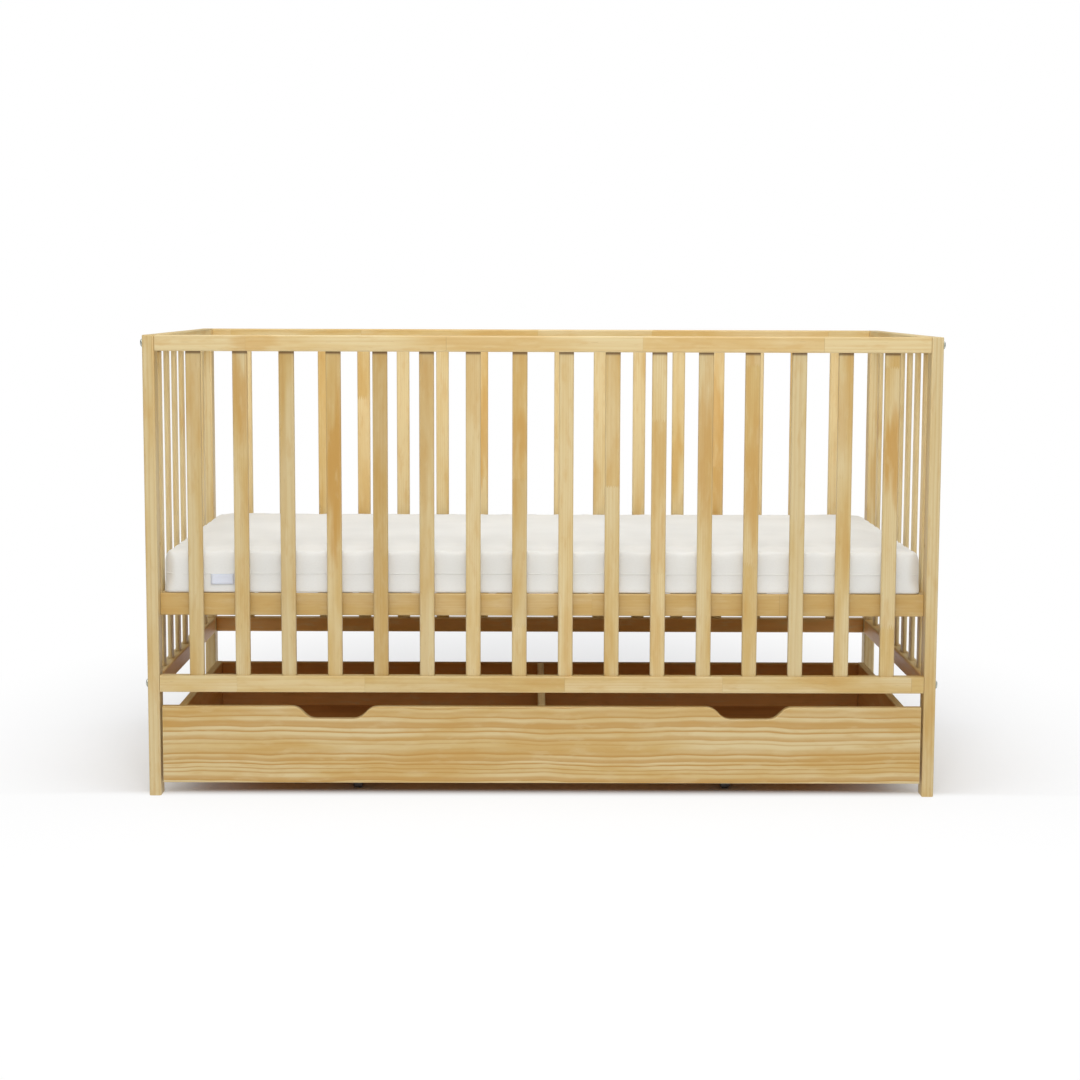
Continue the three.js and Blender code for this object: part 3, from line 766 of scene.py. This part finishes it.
def end_panels():
    for name, way in (("left", -1), ("right", 1)):
        top, bottom = f"{name}_end_top_rail", f"{name}_end_bottom_rail_with_slats"
        top_low, top_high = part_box(top)
        low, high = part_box(bottom)
        rail_high = Vector((high.x, high.y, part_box("front_bottom_rail")[1].z))
        centre_x = (low.x + high.x) / 2
        first = low.y - GAP + END_SLAT_FIRST + END_SLAT_HALF.y
        pitch = -2 * first / (END_SLATS - 1)
        spots = [first + pitch * index for index in range(END_SLATS)]
        upper = planed_board(top_low, top_high, Y)
        lower = planed_board(low, rail_high, Y)
        half = END_SLAT_HALF + Vector((GAP, GAP, 0))
        for y in spots:
            mortise(upper, Vector((centre_x, y, top_low.z)), -UP, half, TENON + GAP)
            mortise(lower, Vector((centre_x, y, rail_high.z)), UP, half, TENON + GAP)
        wooden(top, upper, RAIL_PINE, "frame", top, along=Y, look={"tone": 0.4, "jointed": False})
        # Painted shade: each end bottom rail's inner face is coloured a red heartwood brown along its whole
        # length.
        wooden(f"{name}_end_bottom_rail", lower, INNER_SHADE_RAIL_PINE, "frame", bottom, along=Y,
               look={"tone": 0.2, "warmth": 0.5, "jointed": False, "heart_and_shade": (0, 3.0, 0.7),
                     "painted_shade_face": (-way, 0, 0)})
        luck = random.Random(f"{name} end slats")
        for number, y in enumerate(spots, 1):
            slat_low = Vector((centre_x - END_SLAT_HALF.x, y - END_SLAT_HALF.y, rail_high.z - TENON))
            slat_high = Vector((centre_x + END_SLAT_HALF.x, y + END_SLAT_HALF.y, high.z))
            look = {"tone": luck.uniform(0.8, 1.2), "warmth": luck.uniform(0.0, 0.25), "jointed": False,
                    "heart_and_shade": (luck.uniform(-0.8, 0.8), 0.05, luck.choice((0.0, 0.0, 0.5)))}
            wooden(f"{name}_end_slat_{number}", planed_board(slat_low, slat_high, Z), SLAT_PINE,
                   "frame", bottom, along=Z, look=look, under=top_low.z)


# ---- Mattress base ----
BASE_SLATS = 12
BASE_SLAT_WIDTH = 60 * MM
BASE_SLAT_THICK = 12 * MM
BASE_SLAT_FIRST = 50 * MM
LEDGE = 9 * MM
TAPE_WIDTH = 25 * MM
TAPE_FROM_CENTRE = 220 * MM
TAPE_THICK = 1.2 * MM


def ledged_rail(name, inward_y):
    """A long rail with a ledge along the top of its inner side for the cross slats."""
    low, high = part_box(name)
    outer, inner = (low.y, high.y) if inward_y > 0 else (high.y, low.y)
    step = inner - inward_y * (LEDGE + GAP)
    ledge_z = high.z - BASE_SLAT_THICK - GAP
    outline = [(outer, low.z), (inner, low.z), (inner, ledge_z),
               (step, ledge_z), (step, high.z), (outer, high.z)]
    bm = drawn_bar(outline, X, low.x, high.x)
    outer_edges = [e for e in bm.edges if runs_along(e, X)
                   and abs(e.verts[0].co.y - step) > 1e-5]
    bevel(bm, outer_edges, GROOVED_EDGE, 4)
    bevel(bm, end_edges(bm, X), ARRIS, 2)
    bore_ends(bm, low, high, AXES[Y] * inward_y)
    return bm


def mattress_base():
    for name, way in (("front", 1), ("back", -1)):
        node = f"base_{name}_rail"
        wooden(node, ledged_rail(node, way), RAIL_PINE, "frame", node, along=X,
               look={"tone": -0.3, "warmth": 1.0, "jointed": True, "pith": (2.2, 0.05),
                     "heart_and_shade": (0, 3.0, 0.3)})
    for name in ("left", "right"):
        node = f"base_{name}_rail"
        low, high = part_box(node)
        wooden(node, planed_board(low, high, Y), RAIL_PINE, "frame", node, along=Y)

    node = "base_cross_slats"
    low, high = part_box(node)
    span = 2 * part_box("base_right_rail")[0].x
    first = -span / 2 + BASE_SLAT_FIRST + BASE_SLAT_WIDTH / 2
    pitch = -2 * first / (BASE_SLATS - 1)
    spots = [first + pitch * index for index in range(BASE_SLATS)]
    slat_low_z = high.z - BASE_SLAT_THICK
    for number, x in enumerate(spots, 1):
        corner_low = Vector((x - BASE_SLAT_WIDTH / 2, low.y, slat_low_z))
        corner_high = Vector((x + BASE_SLAT_WIDTH / 2, high.y, high.z))
        wooden(f"base_cross_slat_{number:02d}", planed_board(corner_low, corner_high, Y), RAIL_PINE,
               "frame", node, along=Y)
    for name, way in (("front", -1), ("back", 1)):
        y = way * TAPE_FROM_CENTRE
        tape = block((low.x, y - TAPE_WIDTH / 2, slat_low_z - TAPE_THICK - 0.05 * MM),
                     (high.x, y + TAPE_WIDTH / 2, slat_low_z - 0.05 * MM))
        tape = piece(f"base_{name}_tape", tape, WEBBING, "frame", node)
        tape_z = slat_low_z - TAPE_THICK
        staples = joined(*(block((x - 5 * MM, y + side * 5 * MM - 0.5 * MM, tape_z - 0.7 * MM),
                                 (x + 5 * MM, y + side * 5 * MM + 0.5 * MM, tape_z + 0.2 * MM))
                           for x in spots for side in (-1, 1)))
        bevel(staples, list(staples.edges), 0.25 * MM, 2)
        piece(f"base_{name}_tape_staples", staples, STEEL, "frame")


# ---- Mattress ----
MATTRESS_CORNER = 19 * MM
MATTRESS_TOP_EDGE, MATTRESS_FOOT_EDGE = 11 * MM, 2 * MM
MATTRESS_TUCK = 1 * MM      # how much narrower the cover starts before it is filled
MATTRESS_SLACK = 3 * MM     # how much lower it starts
MATTRESS_PULL = 0.2         # share of an inward pull that the filling lets through
MATTRESS_VOXEL = 10 * MM
MATTRESS_CAP = 7 * MM       # how far the filling may move the cover
FILLING_PRESSURE, FILLING_FRAMES = 4, 20
MATTRESS_CROWN = 2 * MM


def soft_block(low, high):
    bm = block(low, high)
    bevel(bm, [e for e in bm.edges if runs_along(e, Z)], MATTRESS_CORNER, 6)
    for way, edge in ((1, MATTRESS_TOP_EDGE), (-1, MATTRESS_FOOT_EDGE)):
        rim = [e for e in bm.edges if any(f.normal.z * way > 0.99 for f in e.link_faces)]
        bevel(bm, rim, edge, 4)
    return bm


def mattress_pad():
    low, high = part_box("mattress")
    tuck = Vector((1, 1, 0)) * MATTRESS_TUCK
    bm = soft_block(low + tuck, high - tuck - UP * MATTRESS_SLACK)
    pad = piece("mattress_pad", bm, TICKING, "mattress", "mattress", sharp=180)
    bpy.context.view_layer.objects.active = pad
    remesh = pad.modifiers.new("remesh", "REMESH")
    remesh.mode, remesh.voxel_size, remesh.use_smooth_shade = "VOXEL", MATTRESS_VOXEL, True
    settle(pad)
    start = [(v.co.copy(), v.normal.copy()) for v in pad.data.vertices]
    cloth = pad.modifiers.new("filling", "CLOTH")
    cloth.settings.effector_weights.gravity = 0
    cloth.settings.use_pressure = True
    cloth.settings.uniform_pressure_force = FILLING_PRESSURE
    cloth.settings.quality = 4
    cloth.point_cache.frame_start, cloth.point_cache.frame_end = 1, FILLING_FRAMES
    scene = bpy.context.scene
    for step in range(1, FILLING_FRAMES + 1):
        scene.frame_set(step)
        bpy.context.view_layer.update()
    settle(pad)
    scene.frame_set(1)
    for vertex, (old, outward) in zip(pad.data.vertices, start):
        push = vertex.co - old
        pull = min(push.dot(outward), 0.0)
        push -= outward * pull * (1 - MATTRESS_PULL)
        if push.length > MATTRESS_CAP:
            push *= MATTRESS_CAP / push.length
        vertex.co = old + push
    dimple_edges(pad.data, low, high)
    press_foot(pad.data, low, high)
    keep_inside(pad.data, low, high + UP * MATTRESS_CROWN)
    grow = pad.modifiers.new("smooth", "SUBSURF")
    grow.levels = grow.render_levels = 1
    settle(pad)
    for polygon in pad.data.polygons:
        polygon.use_smooth = True
    return pad


def settle(made):
    """Applies the piece's modifiers to its mesh."""
    graph = bpy.context.evaluated_depsgraph_get()
    graph.update()
    shaped = bpy.data.meshes.new_from_object(made.evaluated_get(graph))
    old = made.data
    made.modifiers.clear()
    made.data = shaped
    if not shaped.materials:
        shaped.materials.append(old.materials[0])
    bpy.data.meshes.remove(old)


PUCKER_PITCH = 62 * MM
PUCKER_DEPTH = 2.4 * MM


def dimple_edges(mesh, low, high):
    """Small puckers where the cover is gathered round the top rim."""
    centre = (low + high) / 2
    for vertex in mesh.vertices:
        place = vertex.co
        to_end = min(place.x - low.x, high.x - place.x)
        to_side = min(place.y - low.y, high.y - place.y)
        to_rim = min(to_end, to_side)
        run = place.x if to_side < to_end else place.y
        fade = math.exp(-((to_rim - 16 * MM) / (20 * MM)) ** 2)
        wave = math.sin(2 * math.pi * run / PUCKER_PITCH + 1.3 * math.sin(run * 9.0 + 0.4))
        if place.z > centre.z:
            vertex.co.z -= PUCKER_DEPTH * fade * (0.5 + 0.5 * wave)


FOOT_HEIGHT = 9 * MM


def press_foot(mesh, low, high):
    """The weight of the filling presses the bottom flat and spreads it to its full size."""
    for vertex in mesh.vertices:
        place = vertex.co
        if place.z < low.z + FOOT_HEIGHT:
            vertex.co.z = low.z + 0.15 * (place.z - low.z)
            for axis in (X, Y):
                for edge, way in ((low[axis], 1), (high[axis], -1)):
                    near = (place[axis] - edge) * way
                    if near < 2 * FOOT_HEIGHT:
                        vertex.co[axis] = edge + way * 0.35 * near


def keep_inside(mesh, low, high):
    for vertex in mesh.vertices:
        for axis in (X, Y, Z):
            vertex.co[axis] = min(max(vertex.co[axis], low[axis]), high[axis])


SEAM_SHARE = 0.44       # the seam's height, as a share of the mattress
SEAM_RADIUS = 1.3 * MM


def mattress_seam(pad):
    """The piping where the cover's upper and lower halves are sewn together."""
    low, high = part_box("mattress")
    z = low.z + SEAM_SHARE * (high.z - low.z)
    surface = BVHTree.FromObject(pad, bpy.context.evaluated_depsgraph_get())
    inset = MATTRESS_CORNER
    corners = [(1, 1), (-1, 1), (-1, -1), (1, -1)]
    half_x, half_y = high.x - inset, high.y - inset
    path = []
    for index, (x_way, y_way) in enumerate(corners):
        for step in range(7):
            turn = math.radians(90 * index + 15 * step)
            path.append((Vector((x_way * half_x, y_way * half_y, z)),
                         Vector((math.cos(turn), math.sin(turn), 0))))
        next_x, next_y = corners[(index + 1) % 4]
        count = 60 if next_x != x_way else 30
        turn = math.radians(90 * index + 90)
        for step in range(1, count):
            share = step / count
            spot = Vector((x_way + (next_x - x_way) * share, y_way + (next_y - y_way) * share, 0))
            path.append((Vector((spot.x * half_x, spot.y * half_y, z)),
                         Vector((math.cos(turn), math.sin(turn), 0))))
    line = []
    for start, outward in path:
        hit = surface.ray_cast(start + outward * (inset + 20 * MM), -outward)[0]
        line.append((hit if hit else start + outward * inset, outward))
    bm = bmesh.new()
    rings = []
    for spot, outward in line:
        lean = [(0.9, 0.0), (0.6, 0.7), (-0.4, 0.9), (-0.6, 0.0), (-0.4, -0.9), (0.6, -0.7)]
        rings.append([bm.verts.new(spot + outward * a * SEAM_RADIUS + UP * c * SEAM_RADIUS) for a, c in lean])
    for ring, following in zip(rings, rings[1:] + rings[:1]):
        for k in range(6):
            bm.faces.new((ring[k], following[k], following[(k + 1) % 6], ring[(k + 1) % 6]))
    bmesh.ops.recalc_face_normals(bm, faces=bm.faces)
    piece("mattress_seam", bm, TICKING, "mattress", sharp=180)
    return surface, z


TAG_WIDTH, TAG_DROP = 42 * MM, 19 * MM
TAG_LEFT = -610 * MM


def mattress_tag(surface, z):
    """A blank tag sewn into the seam at the front."""
    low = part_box("mattress")[0]
    bm = bmesh.new()
    columns, rows = 8, 5
    grid = []
    for row in range(rows + 1):
        line = []
        for column in range(columns + 1):
            x = TAG_LEFT + TAG_WIDTH * column / columns
            drop = TAG_DROP * row / rows
            origin = Vector((x, low.y - 0.02, z - 0.5 * MM - drop))
            hit = surface.ray_cast(origin, AXES[Y])[0]
            y = hit.y if hit else low.y + 6 * MM
            ripple = 1 + 0.4 * math.sin(2.1 * column / columns * math.pi)
            curl = 1.1 * MM + 1.4 * MM * (row / rows) ** 2 * ripple
            line.append(bm.verts.new((x, y - curl, origin.z)))
        grid.append(line)
    for upper, under in zip(grid, grid[1:]):
        for k in range(columns):
            bm.faces.new((upper[k], under[k], under[k + 1], upper[k + 1]))
    bmesh.ops.recalc_face_normals(bm, faces=bm.faces)
    if sum(face.normal.y for face in bm.faces) > 0:
        bmesh.ops.reverse_faces(bm, faces=list(bm.faces))
    tag = piece("mattress_tag", bm, TAG_RIBBON, "mattress", sharp=180)
    thick = tag.modifiers.new("cloth thickness", "SOLIDIFY")
    thick.thickness, thick.offset = 0.5 * MM, 0.0


# ---- Drawer ----
NOTCH_CENTRE = 382 * MM
NOTCH_TOP, NOTCH_FLAT, NOTCH_DEPTH = 160 * MM, 68 * MM, 23 * MM
NOTCH_STEPS = 10
FLOOR_GROOVE = 5.3 * MM
FRONT_ROUND = 1.6 * MM


def notch_curve(start, end, top, low):
    """An S from the top edge down to the flat of a notch, or back up."""
    points = []
    for step in range(NOTCH_STEPS + 1):
        t = step / NOTCH_STEPS
        s = 1 - t
        x = (s ** 3 * start + 3 * s * s * t * (start + end) / 2
             + 3 * s * t * t * (start + end) / 2 + t ** 3 * end)
        z = (s ** 3 + 3 * s * s * t) * top + (3 * s * t * t + t ** 3) * low
        points.append((x, z))
    return points


def drawer_front():
    low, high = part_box("drawer_front")
    outline = [(low.x, low.z), (high.x, low.z), (high.x, high.z)]
    for centre in (NOTCH_CENTRE, -NOTCH_CENTRE):
        outline += notch_curve(centre + NOTCH_TOP / 2, centre + NOTCH_FLAT / 2, high.z, high.z - NOTCH_DEPTH)
        outline += notch_curve(centre - NOTCH_FLAT / 2, centre - NOTCH_TOP / 2, high.z - NOTCH_DEPTH, high.z)
    outline.append((low.x, high.z))
    bm = drawn_bar(outline, Y, low.y, high.y)
    bevel(bm, end_edges(bm, Y), FRONT_ROUND, 3)
    floor_low, floor_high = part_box("drawer_floor")
    spot = Vector((0, high.y, (floor_low.z + floor_high.z) / 2))
    half = Vector((floor_high.x + GAP, 0, (floor_high.z - floor_low.z) / 2 + GAP))
    mortise(bm, spot, AXES[Y], half, FLOOR_GROOVE)
    wooden("drawer_front", bm, FRONT_PINE, "drawer", "drawer_front", along=X,
           look={"tone": -0.15, "warmth": 0.7, "jointed": False, "pith": (math.radians(67), 0.130),
                 "heart_and_shade": (0, 0.1, 0.0)})


def ease_long_rims(bm, along, low, high):
    """Rounds a grooved board's top and bottom edges and leaves its groove sharp."""
    rims = [e for e in bm.edges if runs_along(e, along)
            and (abs(e.verts[0].co.z - low.z) < 1e-5 or abs(e.verts[0].co.z - high.z) < 1e-5)]
    bevel(bm, rims, GROOVED_EDGE, 4)


def drawer_box():
    floor_low, floor_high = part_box("drawer_floor")
    groove_low, groove_high = floor_low.z - GAP, floor_high.z + GAP
    for name, way in (("left", -1), ("right", 1)):
        node = f"drawer_{name}_side"
        low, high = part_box(node)
        outer, inner = (low.x, high.x) if way < 0 else (high.x, low.x)
        deep = inner + way * FLOOR_GROOVE
        outline = [(outer, low.z), (inner, low.z), (inner, groove_low), (deep, groove_low),
                   (deep, groove_high), (inner, groove_high), (inner, high.z), (outer, high.z)]
        bm = drawn_bar(outline, Y, low.y, high.y)
        ease_long_rims(bm, Y, low, high)
        # Painted shade: each side's inner face is coloured a deep red heartwood brown along its whole length.
        wooden(node, bm, BOX_PINE, "drawer", node, along=Y,
               look={"tone": 0.5, "warmth": 0.4, "jointed": False, "heart_and_shade": (0, 3.0, 0.6),
                     "painted_shade_face": (-way, 0, 0)})

    low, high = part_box("drawer_back")
    outline = [(low.y, low.z), (high.y, low.z), (high.y, high.z), (low.y, high.z),
               (low.y, groove_high), (low.y + FLOOR_GROOVE, groove_high),
               (low.y + FLOOR_GROOVE, groove_low), (low.y, groove_low)]
    bm = drawn_bar(outline, X, low.x, high.x)
    ease_long_rims(bm, X, low, high)
    # Painted shade: the back's inner face is coloured a deep red heartwood brown along its whole length.
    wooden("drawer_back", bm, BOX_PINE, "drawer", "drawer_back", along=X,
           look={"tone": -0.3, "warmth": 1.0, "jointed": False, "pith": (1.4, 0.04),
                 "heart_and_shade": (0, 3.0, 0.9), "painted_shade_face": (0, -1, 0)})

    low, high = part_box("drawer_divider")
    # Painted light: the divider's tone is set far above the other boards' to make it pale in the drawer's
    # shade.
    wooden("drawer_divider", planed_board(low, high, Y), BOX_PINE, "drawer", "drawer_divider", along=Y,
           look={"tone": 2.2, "warmth": 0.0, "jointed": False, "heart_and_shade": (0, 0.1, 0)})

    bm = block(floor_low, floor_high)
    bevel(bm, list(bm.edges), 0.5 * MM, 2)
    piece("drawer_floor", bm, PLY, "drawer", "drawer_floor")


# ---- Castors ----
FORK_SHEET = 2.5 * MM
FORK_HALF = 11.75 * MM          # from the middle of the wheel to the middle of a cheek
CHEEK_TOP_HALF = 17 * MM
CHEEK_BOSS = 9 * MM
AXLE = 4 * MM
SCREW_HEAD = 4 * MM


def castor_bracket(name, corner):
    node = f"castor_bracket_{corner}"
    low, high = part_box(node)
    centre = middle_of(f"castor_wheel_{corner}")
    plate = block((low.x, low.y, high.z - FORK_SHEET), high)
    bevel(plate, [e for e in plate.edges if runs_along(e, Z)], 6 * MM, 5)
    bevel(plate, end_edges(plate, Z), 0.5 * MM, 2)
    shapes = [plate]
    for way in (-1, 1):
        arc = [(centre.y - CHEEK_TOP_HALF, high.z - FORK_SHEET / 2),
               (centre.y + CHEEK_TOP_HALF, high.z - FORK_SHEET / 2)]
        for step in range(13):
            turn = -math.pi * step / 12
            arc.append((centre.y + CHEEK_BOSS * math.cos(turn), centre.z + CHEEK_BOSS * math.sin(turn)))
        x = centre.x + way * FORK_HALF
        cheek = drawn_bar(arc, X, x - FORK_SHEET / 2, x + FORK_SHEET / 2)
        bevel(cheek, end_edges(cheek, X), 0.5 * MM, 2)
        shapes.append(cheek)
        reach = FORK_HALF + FORK_SHEET / 2
        head = [(0, way * (reach + 1.0 * MM)), (AXLE * 0.9, way * (reach + 0.9 * MM)),
                (AXLE * 1.5, way * (reach + 0.4 * MM)), (AXLE * 1.5, way * (reach - 0.2 * MM)),
                (0, way * (reach - 0.2 * MM))]
        shapes.append(turned(head, X, centre))
    pin_half = FORK_HALF
    shapes.append(turned([(0, -pin_half), (AXLE, -pin_half), (AXLE, pin_half), (0, pin_half)], X, centre, 20))
    for x_way in (-1, 1):
        for y_way in (-1, 1):
            spot = Vector((centre.x + x_way * 17.5 * MM, centre.y + y_way * 24 * MM, high.z - FORK_SHEET))
            dome = [(0, -1.9 * MM), (SCREW_HEAD * 0.45, -1.8 * MM), (SCREW_HEAD * 0.85, -1.1 * MM),
                    (SCREW_HEAD, 0.2 * MM), (0, 0.2 * MM)]
            shapes.append(turned(dome, Z, spot, 18))
    piece(name, joined(*shapes), STEEL, "drawer", node, sharp=35)


def castor_wheel(corner):
    node = f"castor_wheel_{corner}"
    low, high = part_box(node)
    centre = (low + high) / 2
    half, radius, bore = (high.x - low.x) / 2, (high.z - low.z) / 2, 4.3 * MM
    crown = 0.5 * MM
    profile = [(bore, -half), (8 * MM, -half), (8.6 * MM, -half + 1.6 * MM), (16.5 * MM, -half + 2.0 * MM),
               (17.4 * MM, -half + 0.3 * MM), (radius - 1.5 * MM, -half), (radius - crown, -half + 1.4 * MM),
               (radius, -half / 3), (radius, half / 3), (radius - crown, half - 1.4 * MM),
               (radius - 1.5 * MM, half), (17.4 * MM, half - 0.3 * MM), (16.5 * MM, half - 2.0 * MM),
               (8.6 * MM, half - 1.6 * MM), (8 * MM, half), (bore, half), (bore, -half)]
    wheel = turned(profile, X, centre, 40)
    ribs = []
    for way in (-1, 1):
        for spoke in range(6):
            turn = Matrix.Rotation(math.radians(60 * spoke + 30), 4, "X")
            x_low, x_high = sorted((way * (half - 2.2 * MM), way * (half - 0.5 * MM)))
            rib = block((x_low, -0.9 * MM, 8.2 * MM), (x_high, 0.9 * MM, 17.0 * MM))
            bevel(rib, list(rib.edges), 0.3 * MM, 1)
            bmesh.ops.transform(rib, matrix=Matrix.Translation(centre) @ turn, verts=rib.verts)
            ribs.append(rib)
    piece(node, joined(wheel, *ribs), WHEEL, f"castor_{corner}", node, sharp=35)


# ---- Bolts and barrel nuts ----
BOLT_SHANK = 3 * MM
SOCKET = 2.5 * MM
SOCKET_DEEP = 2 * MM


def bolt(name):
    """A flanged furniture bolt: a low domed head with a six sided socket."""
    low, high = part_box(name)
    way = 1 if high.x > 0 else -1
    centre = (low + high) / 2
    tip, crown = (low.x, high.x) if way > 0 else (high.x, low.x)
    head = 7.5 * MM
    length = abs(crown - tip)
    under = length - 3.5 * MM
    profile = [(0, 0), (BOLT_SHANK - 0.6 * MM, 0), (BOLT_SHANK, 0.8 * MM), (BOLT_SHANK, under),
               (head - 0.3 * MM, under),
               (head, under + 0.3 * MM), (head, under + 1.5 * MM), (head - 0.9 * MM, under + 2.4 * MM),
               (5.4 * MM, length - 0.15 * MM), (4.6 * MM, length)]
    points = [(r, way * a) for r, a in profile]
    bm = turned(points, X, Vector((tip, centre.y, centre.z)), 30)
    rim = [e for e in bm.edges if e.is_boundary]
    face = bmesh.ops.contextual_create(bm, geom=rim)["faces"][0]
    bm.normal_update()
    bmesh.ops.inset_region(bm, faces=[face], thickness=1.5 * MM)
    bm.normal_update()
    outward = AXES[X] * way
    disc = face_at(bm, Vector((crown, centre.y, centre.z)), outward)
    spot = Vector((crown, centre.y, centre.z))
    for vertex in disc.verts:
        arm = vertex.co - spot
        angle = math.atan2(arm.z, arm.y)
        flat = math.cos(math.pi / 6) / math.cos((angle % (math.pi / 3)) - math.pi / 6)
        vertex.co = spot + arm.normalized() * SOCKET * 1.15 * flat
    sink(bm, disc, -outward, SOCKET_DEEP)
    bmesh.ops.recalc_face_normals(bm, faces=bm.faces)
    piece(name, bm, STEEL, "frame", name, sharp=30)


def barrel_nut(name, spot, nut_side, depth):
    """A slotted steel cylinder set in a rail from the side where its hole opens."""
    radius = 5 * MM
    long = depth - 1.5 * MM
    way = nut_side.y
    profile = [(0, -long), (radius, -long), (radius, -0.4 * MM), (radius - 0.5 * MM, 0), (0, 0)]
    bm = turned([(r, way * a) for r, a in profile], Y, spot - nut_side * 0.6 * MM, 24)
    bmesh.ops.dissolve_limit(bm, angle_limit=math.radians(1), verts=bm.verts, edges=bm.edges)
    bm.normal_update()
    face_spot = spot - nut_side * 0.6 * MM
    half = Vector((3.4 * MM, 0, 0.6 * MM))
    mortise(bm, face_spot, nut_side, half, 1.4 * MM)
    piece(name, bm, STEEL, "frame", sharp=30)


def hardware():
    rails = {"top_rail": 22 * MM, "base_rail": 17 * MM, "bottom_rail": 22 * MM}
    rail_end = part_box("front_top_rail")[1].x
    for y_name, y_way in (("front", -1), ("back", 1)):
        for x_name, x_way in (("left", -1), ("right", 1)):
            for level, thick in rails.items():
                name = f"bolt_{y_name}_{x_name}_{level}"
                bolt(name)
                centre = middle_of(name)
                nut_side = AXES[Y] * (-y_way if level == "base_rail" else 1)
                spot = Vector((x_way * (rail_end - NUT_SETBACK), centre.y + nut_side.y * thick / 2, centre.z))
                barrel_nut(f"barrel_nut_{y_name}_{x_name}_{level}", spot, nut_side,
                           min(NUT_HOLE_DEPTH, thick - 2 * MM))


# ---- Studio ----
def studio():
    """A pale floor that melts into a white surround, a glowing strip of floor just in front of the crib as
    painted light, and soft light from above.
    """
    floor_mesh = bpy.data.meshes.new("studio_floor")
    bm = bmesh.new()
    bmesh.ops.create_circle(bm, cap_ends=True, segments=96, radius=9)
    bm.to_mesh(floor_mesh)
    bm.free()
    floor = bpy.data.objects.new("studio_floor", floor_mesh)
    bpy.context.scene.collection.objects.link(floor)
    paint, b, shader = material("studio floor", specular_ior_level=0.1)
    shader.inputs["Base Color"].default_value = (0.955, 0.965, 0.985, 1)
    shader.inputs["Roughness"].default_value = 0.9
    place = b.object_place()
    oval = b.vector("MULTIPLY", place, (1.0, 0.62, 0.0))
    away = b.add("VectorMath", {0: oval}, operation="LENGTH").outputs["Value"]
    glow = b.add("Emission", {"Color": (1, 1, 1, 1), "Strength": 1.0})
    # Painted light: the floor just in front of the crib glows, so the shadow from under the drawer ends
    # there.
    before = b.ramp(b.split(place)[1], -0.375, -0.315, 0.8, 0.0)
    share = b.math("MAXIMUM", b.ramp(away, 0.5, 1.4), before)
    blend = b.add("MixShader", {0: share, 1: shader.outputs[0], 2: glow.outputs[0]})
    b.tree.links.new(blend.outputs[0], b.tree.nodes["Material Output"].inputs["Surface"])
    floor_mesh.materials.append(paint)

    world = bpy.data.worlds.new("studio")
    bpy.context.scene.world = world
    world.use_nodes = True
    sky = Bench(world.node_tree)
    height = sky.split(sky.add("TexCoord").outputs["Generated"])[2]
    dome = sky.add("Background", {"Strength": sky.ramp(height, 0.02, 0.75, 0.0, 0.60)})
    dome.inputs["Color"].default_value = (1, 1, 1, 1)
    backdrop = sky.add("Background", {"Strength": 1.0})
    backdrop.inputs["Color"].default_value = (1, 1, 1, 1)
    seen = sky.add("LightPath").outputs["Is Camera Ray"]
    both = sky.add("MixShader", {0: seen, 1: dome.outputs[0], 2: backdrop.outputs[0]})
    sky.tree.links.new(both.outputs[0], sky.tree.nodes["World Output"].inputs["Surface"])

    def softbox(name, place, target, size, power):
        light = bpy.data.lights.new(name, "AREA")
        light.shape, light.size, light.energy = "SQUARE", size, power
        holder = bpy.data.objects.new(name, light)
        bpy.context.scene.collection.objects.link(holder)
        way = Vector(target) - Vector(place)
        holder.matrix_world = Matrix.Translation(place) @ way.to_track_quat("-Z", "Y").to_matrix().to_4x4()

    softbox("overhead softbox", (0.0, -0.5, 3.1), (0, 0, 0.3), 3.0, 52)
    softbox("front softbox", (0, -4.3, 2.7), (0, -0.3, 0.3), 1.8, 68)


corner_posts()
front_side()
back_side()
end_panels()
mattress_base()
pad = mattress_pad()
seam_surface, seam_height = mattress_seam(pad)
mattress_tag(seam_surface, seam_height)
drawer_front()
drawer_box()
for y_name in ("front", "back"):
    for x_name in ("left", "right"):
        castor_bracket(f"castor_bracket_{y_name}_{x_name}", f"{y_name}_{x_name}")
        castor_wheel(f"{y_name}_{x_name}")
hardware()
studio()

bpy.context.view_layer.update()
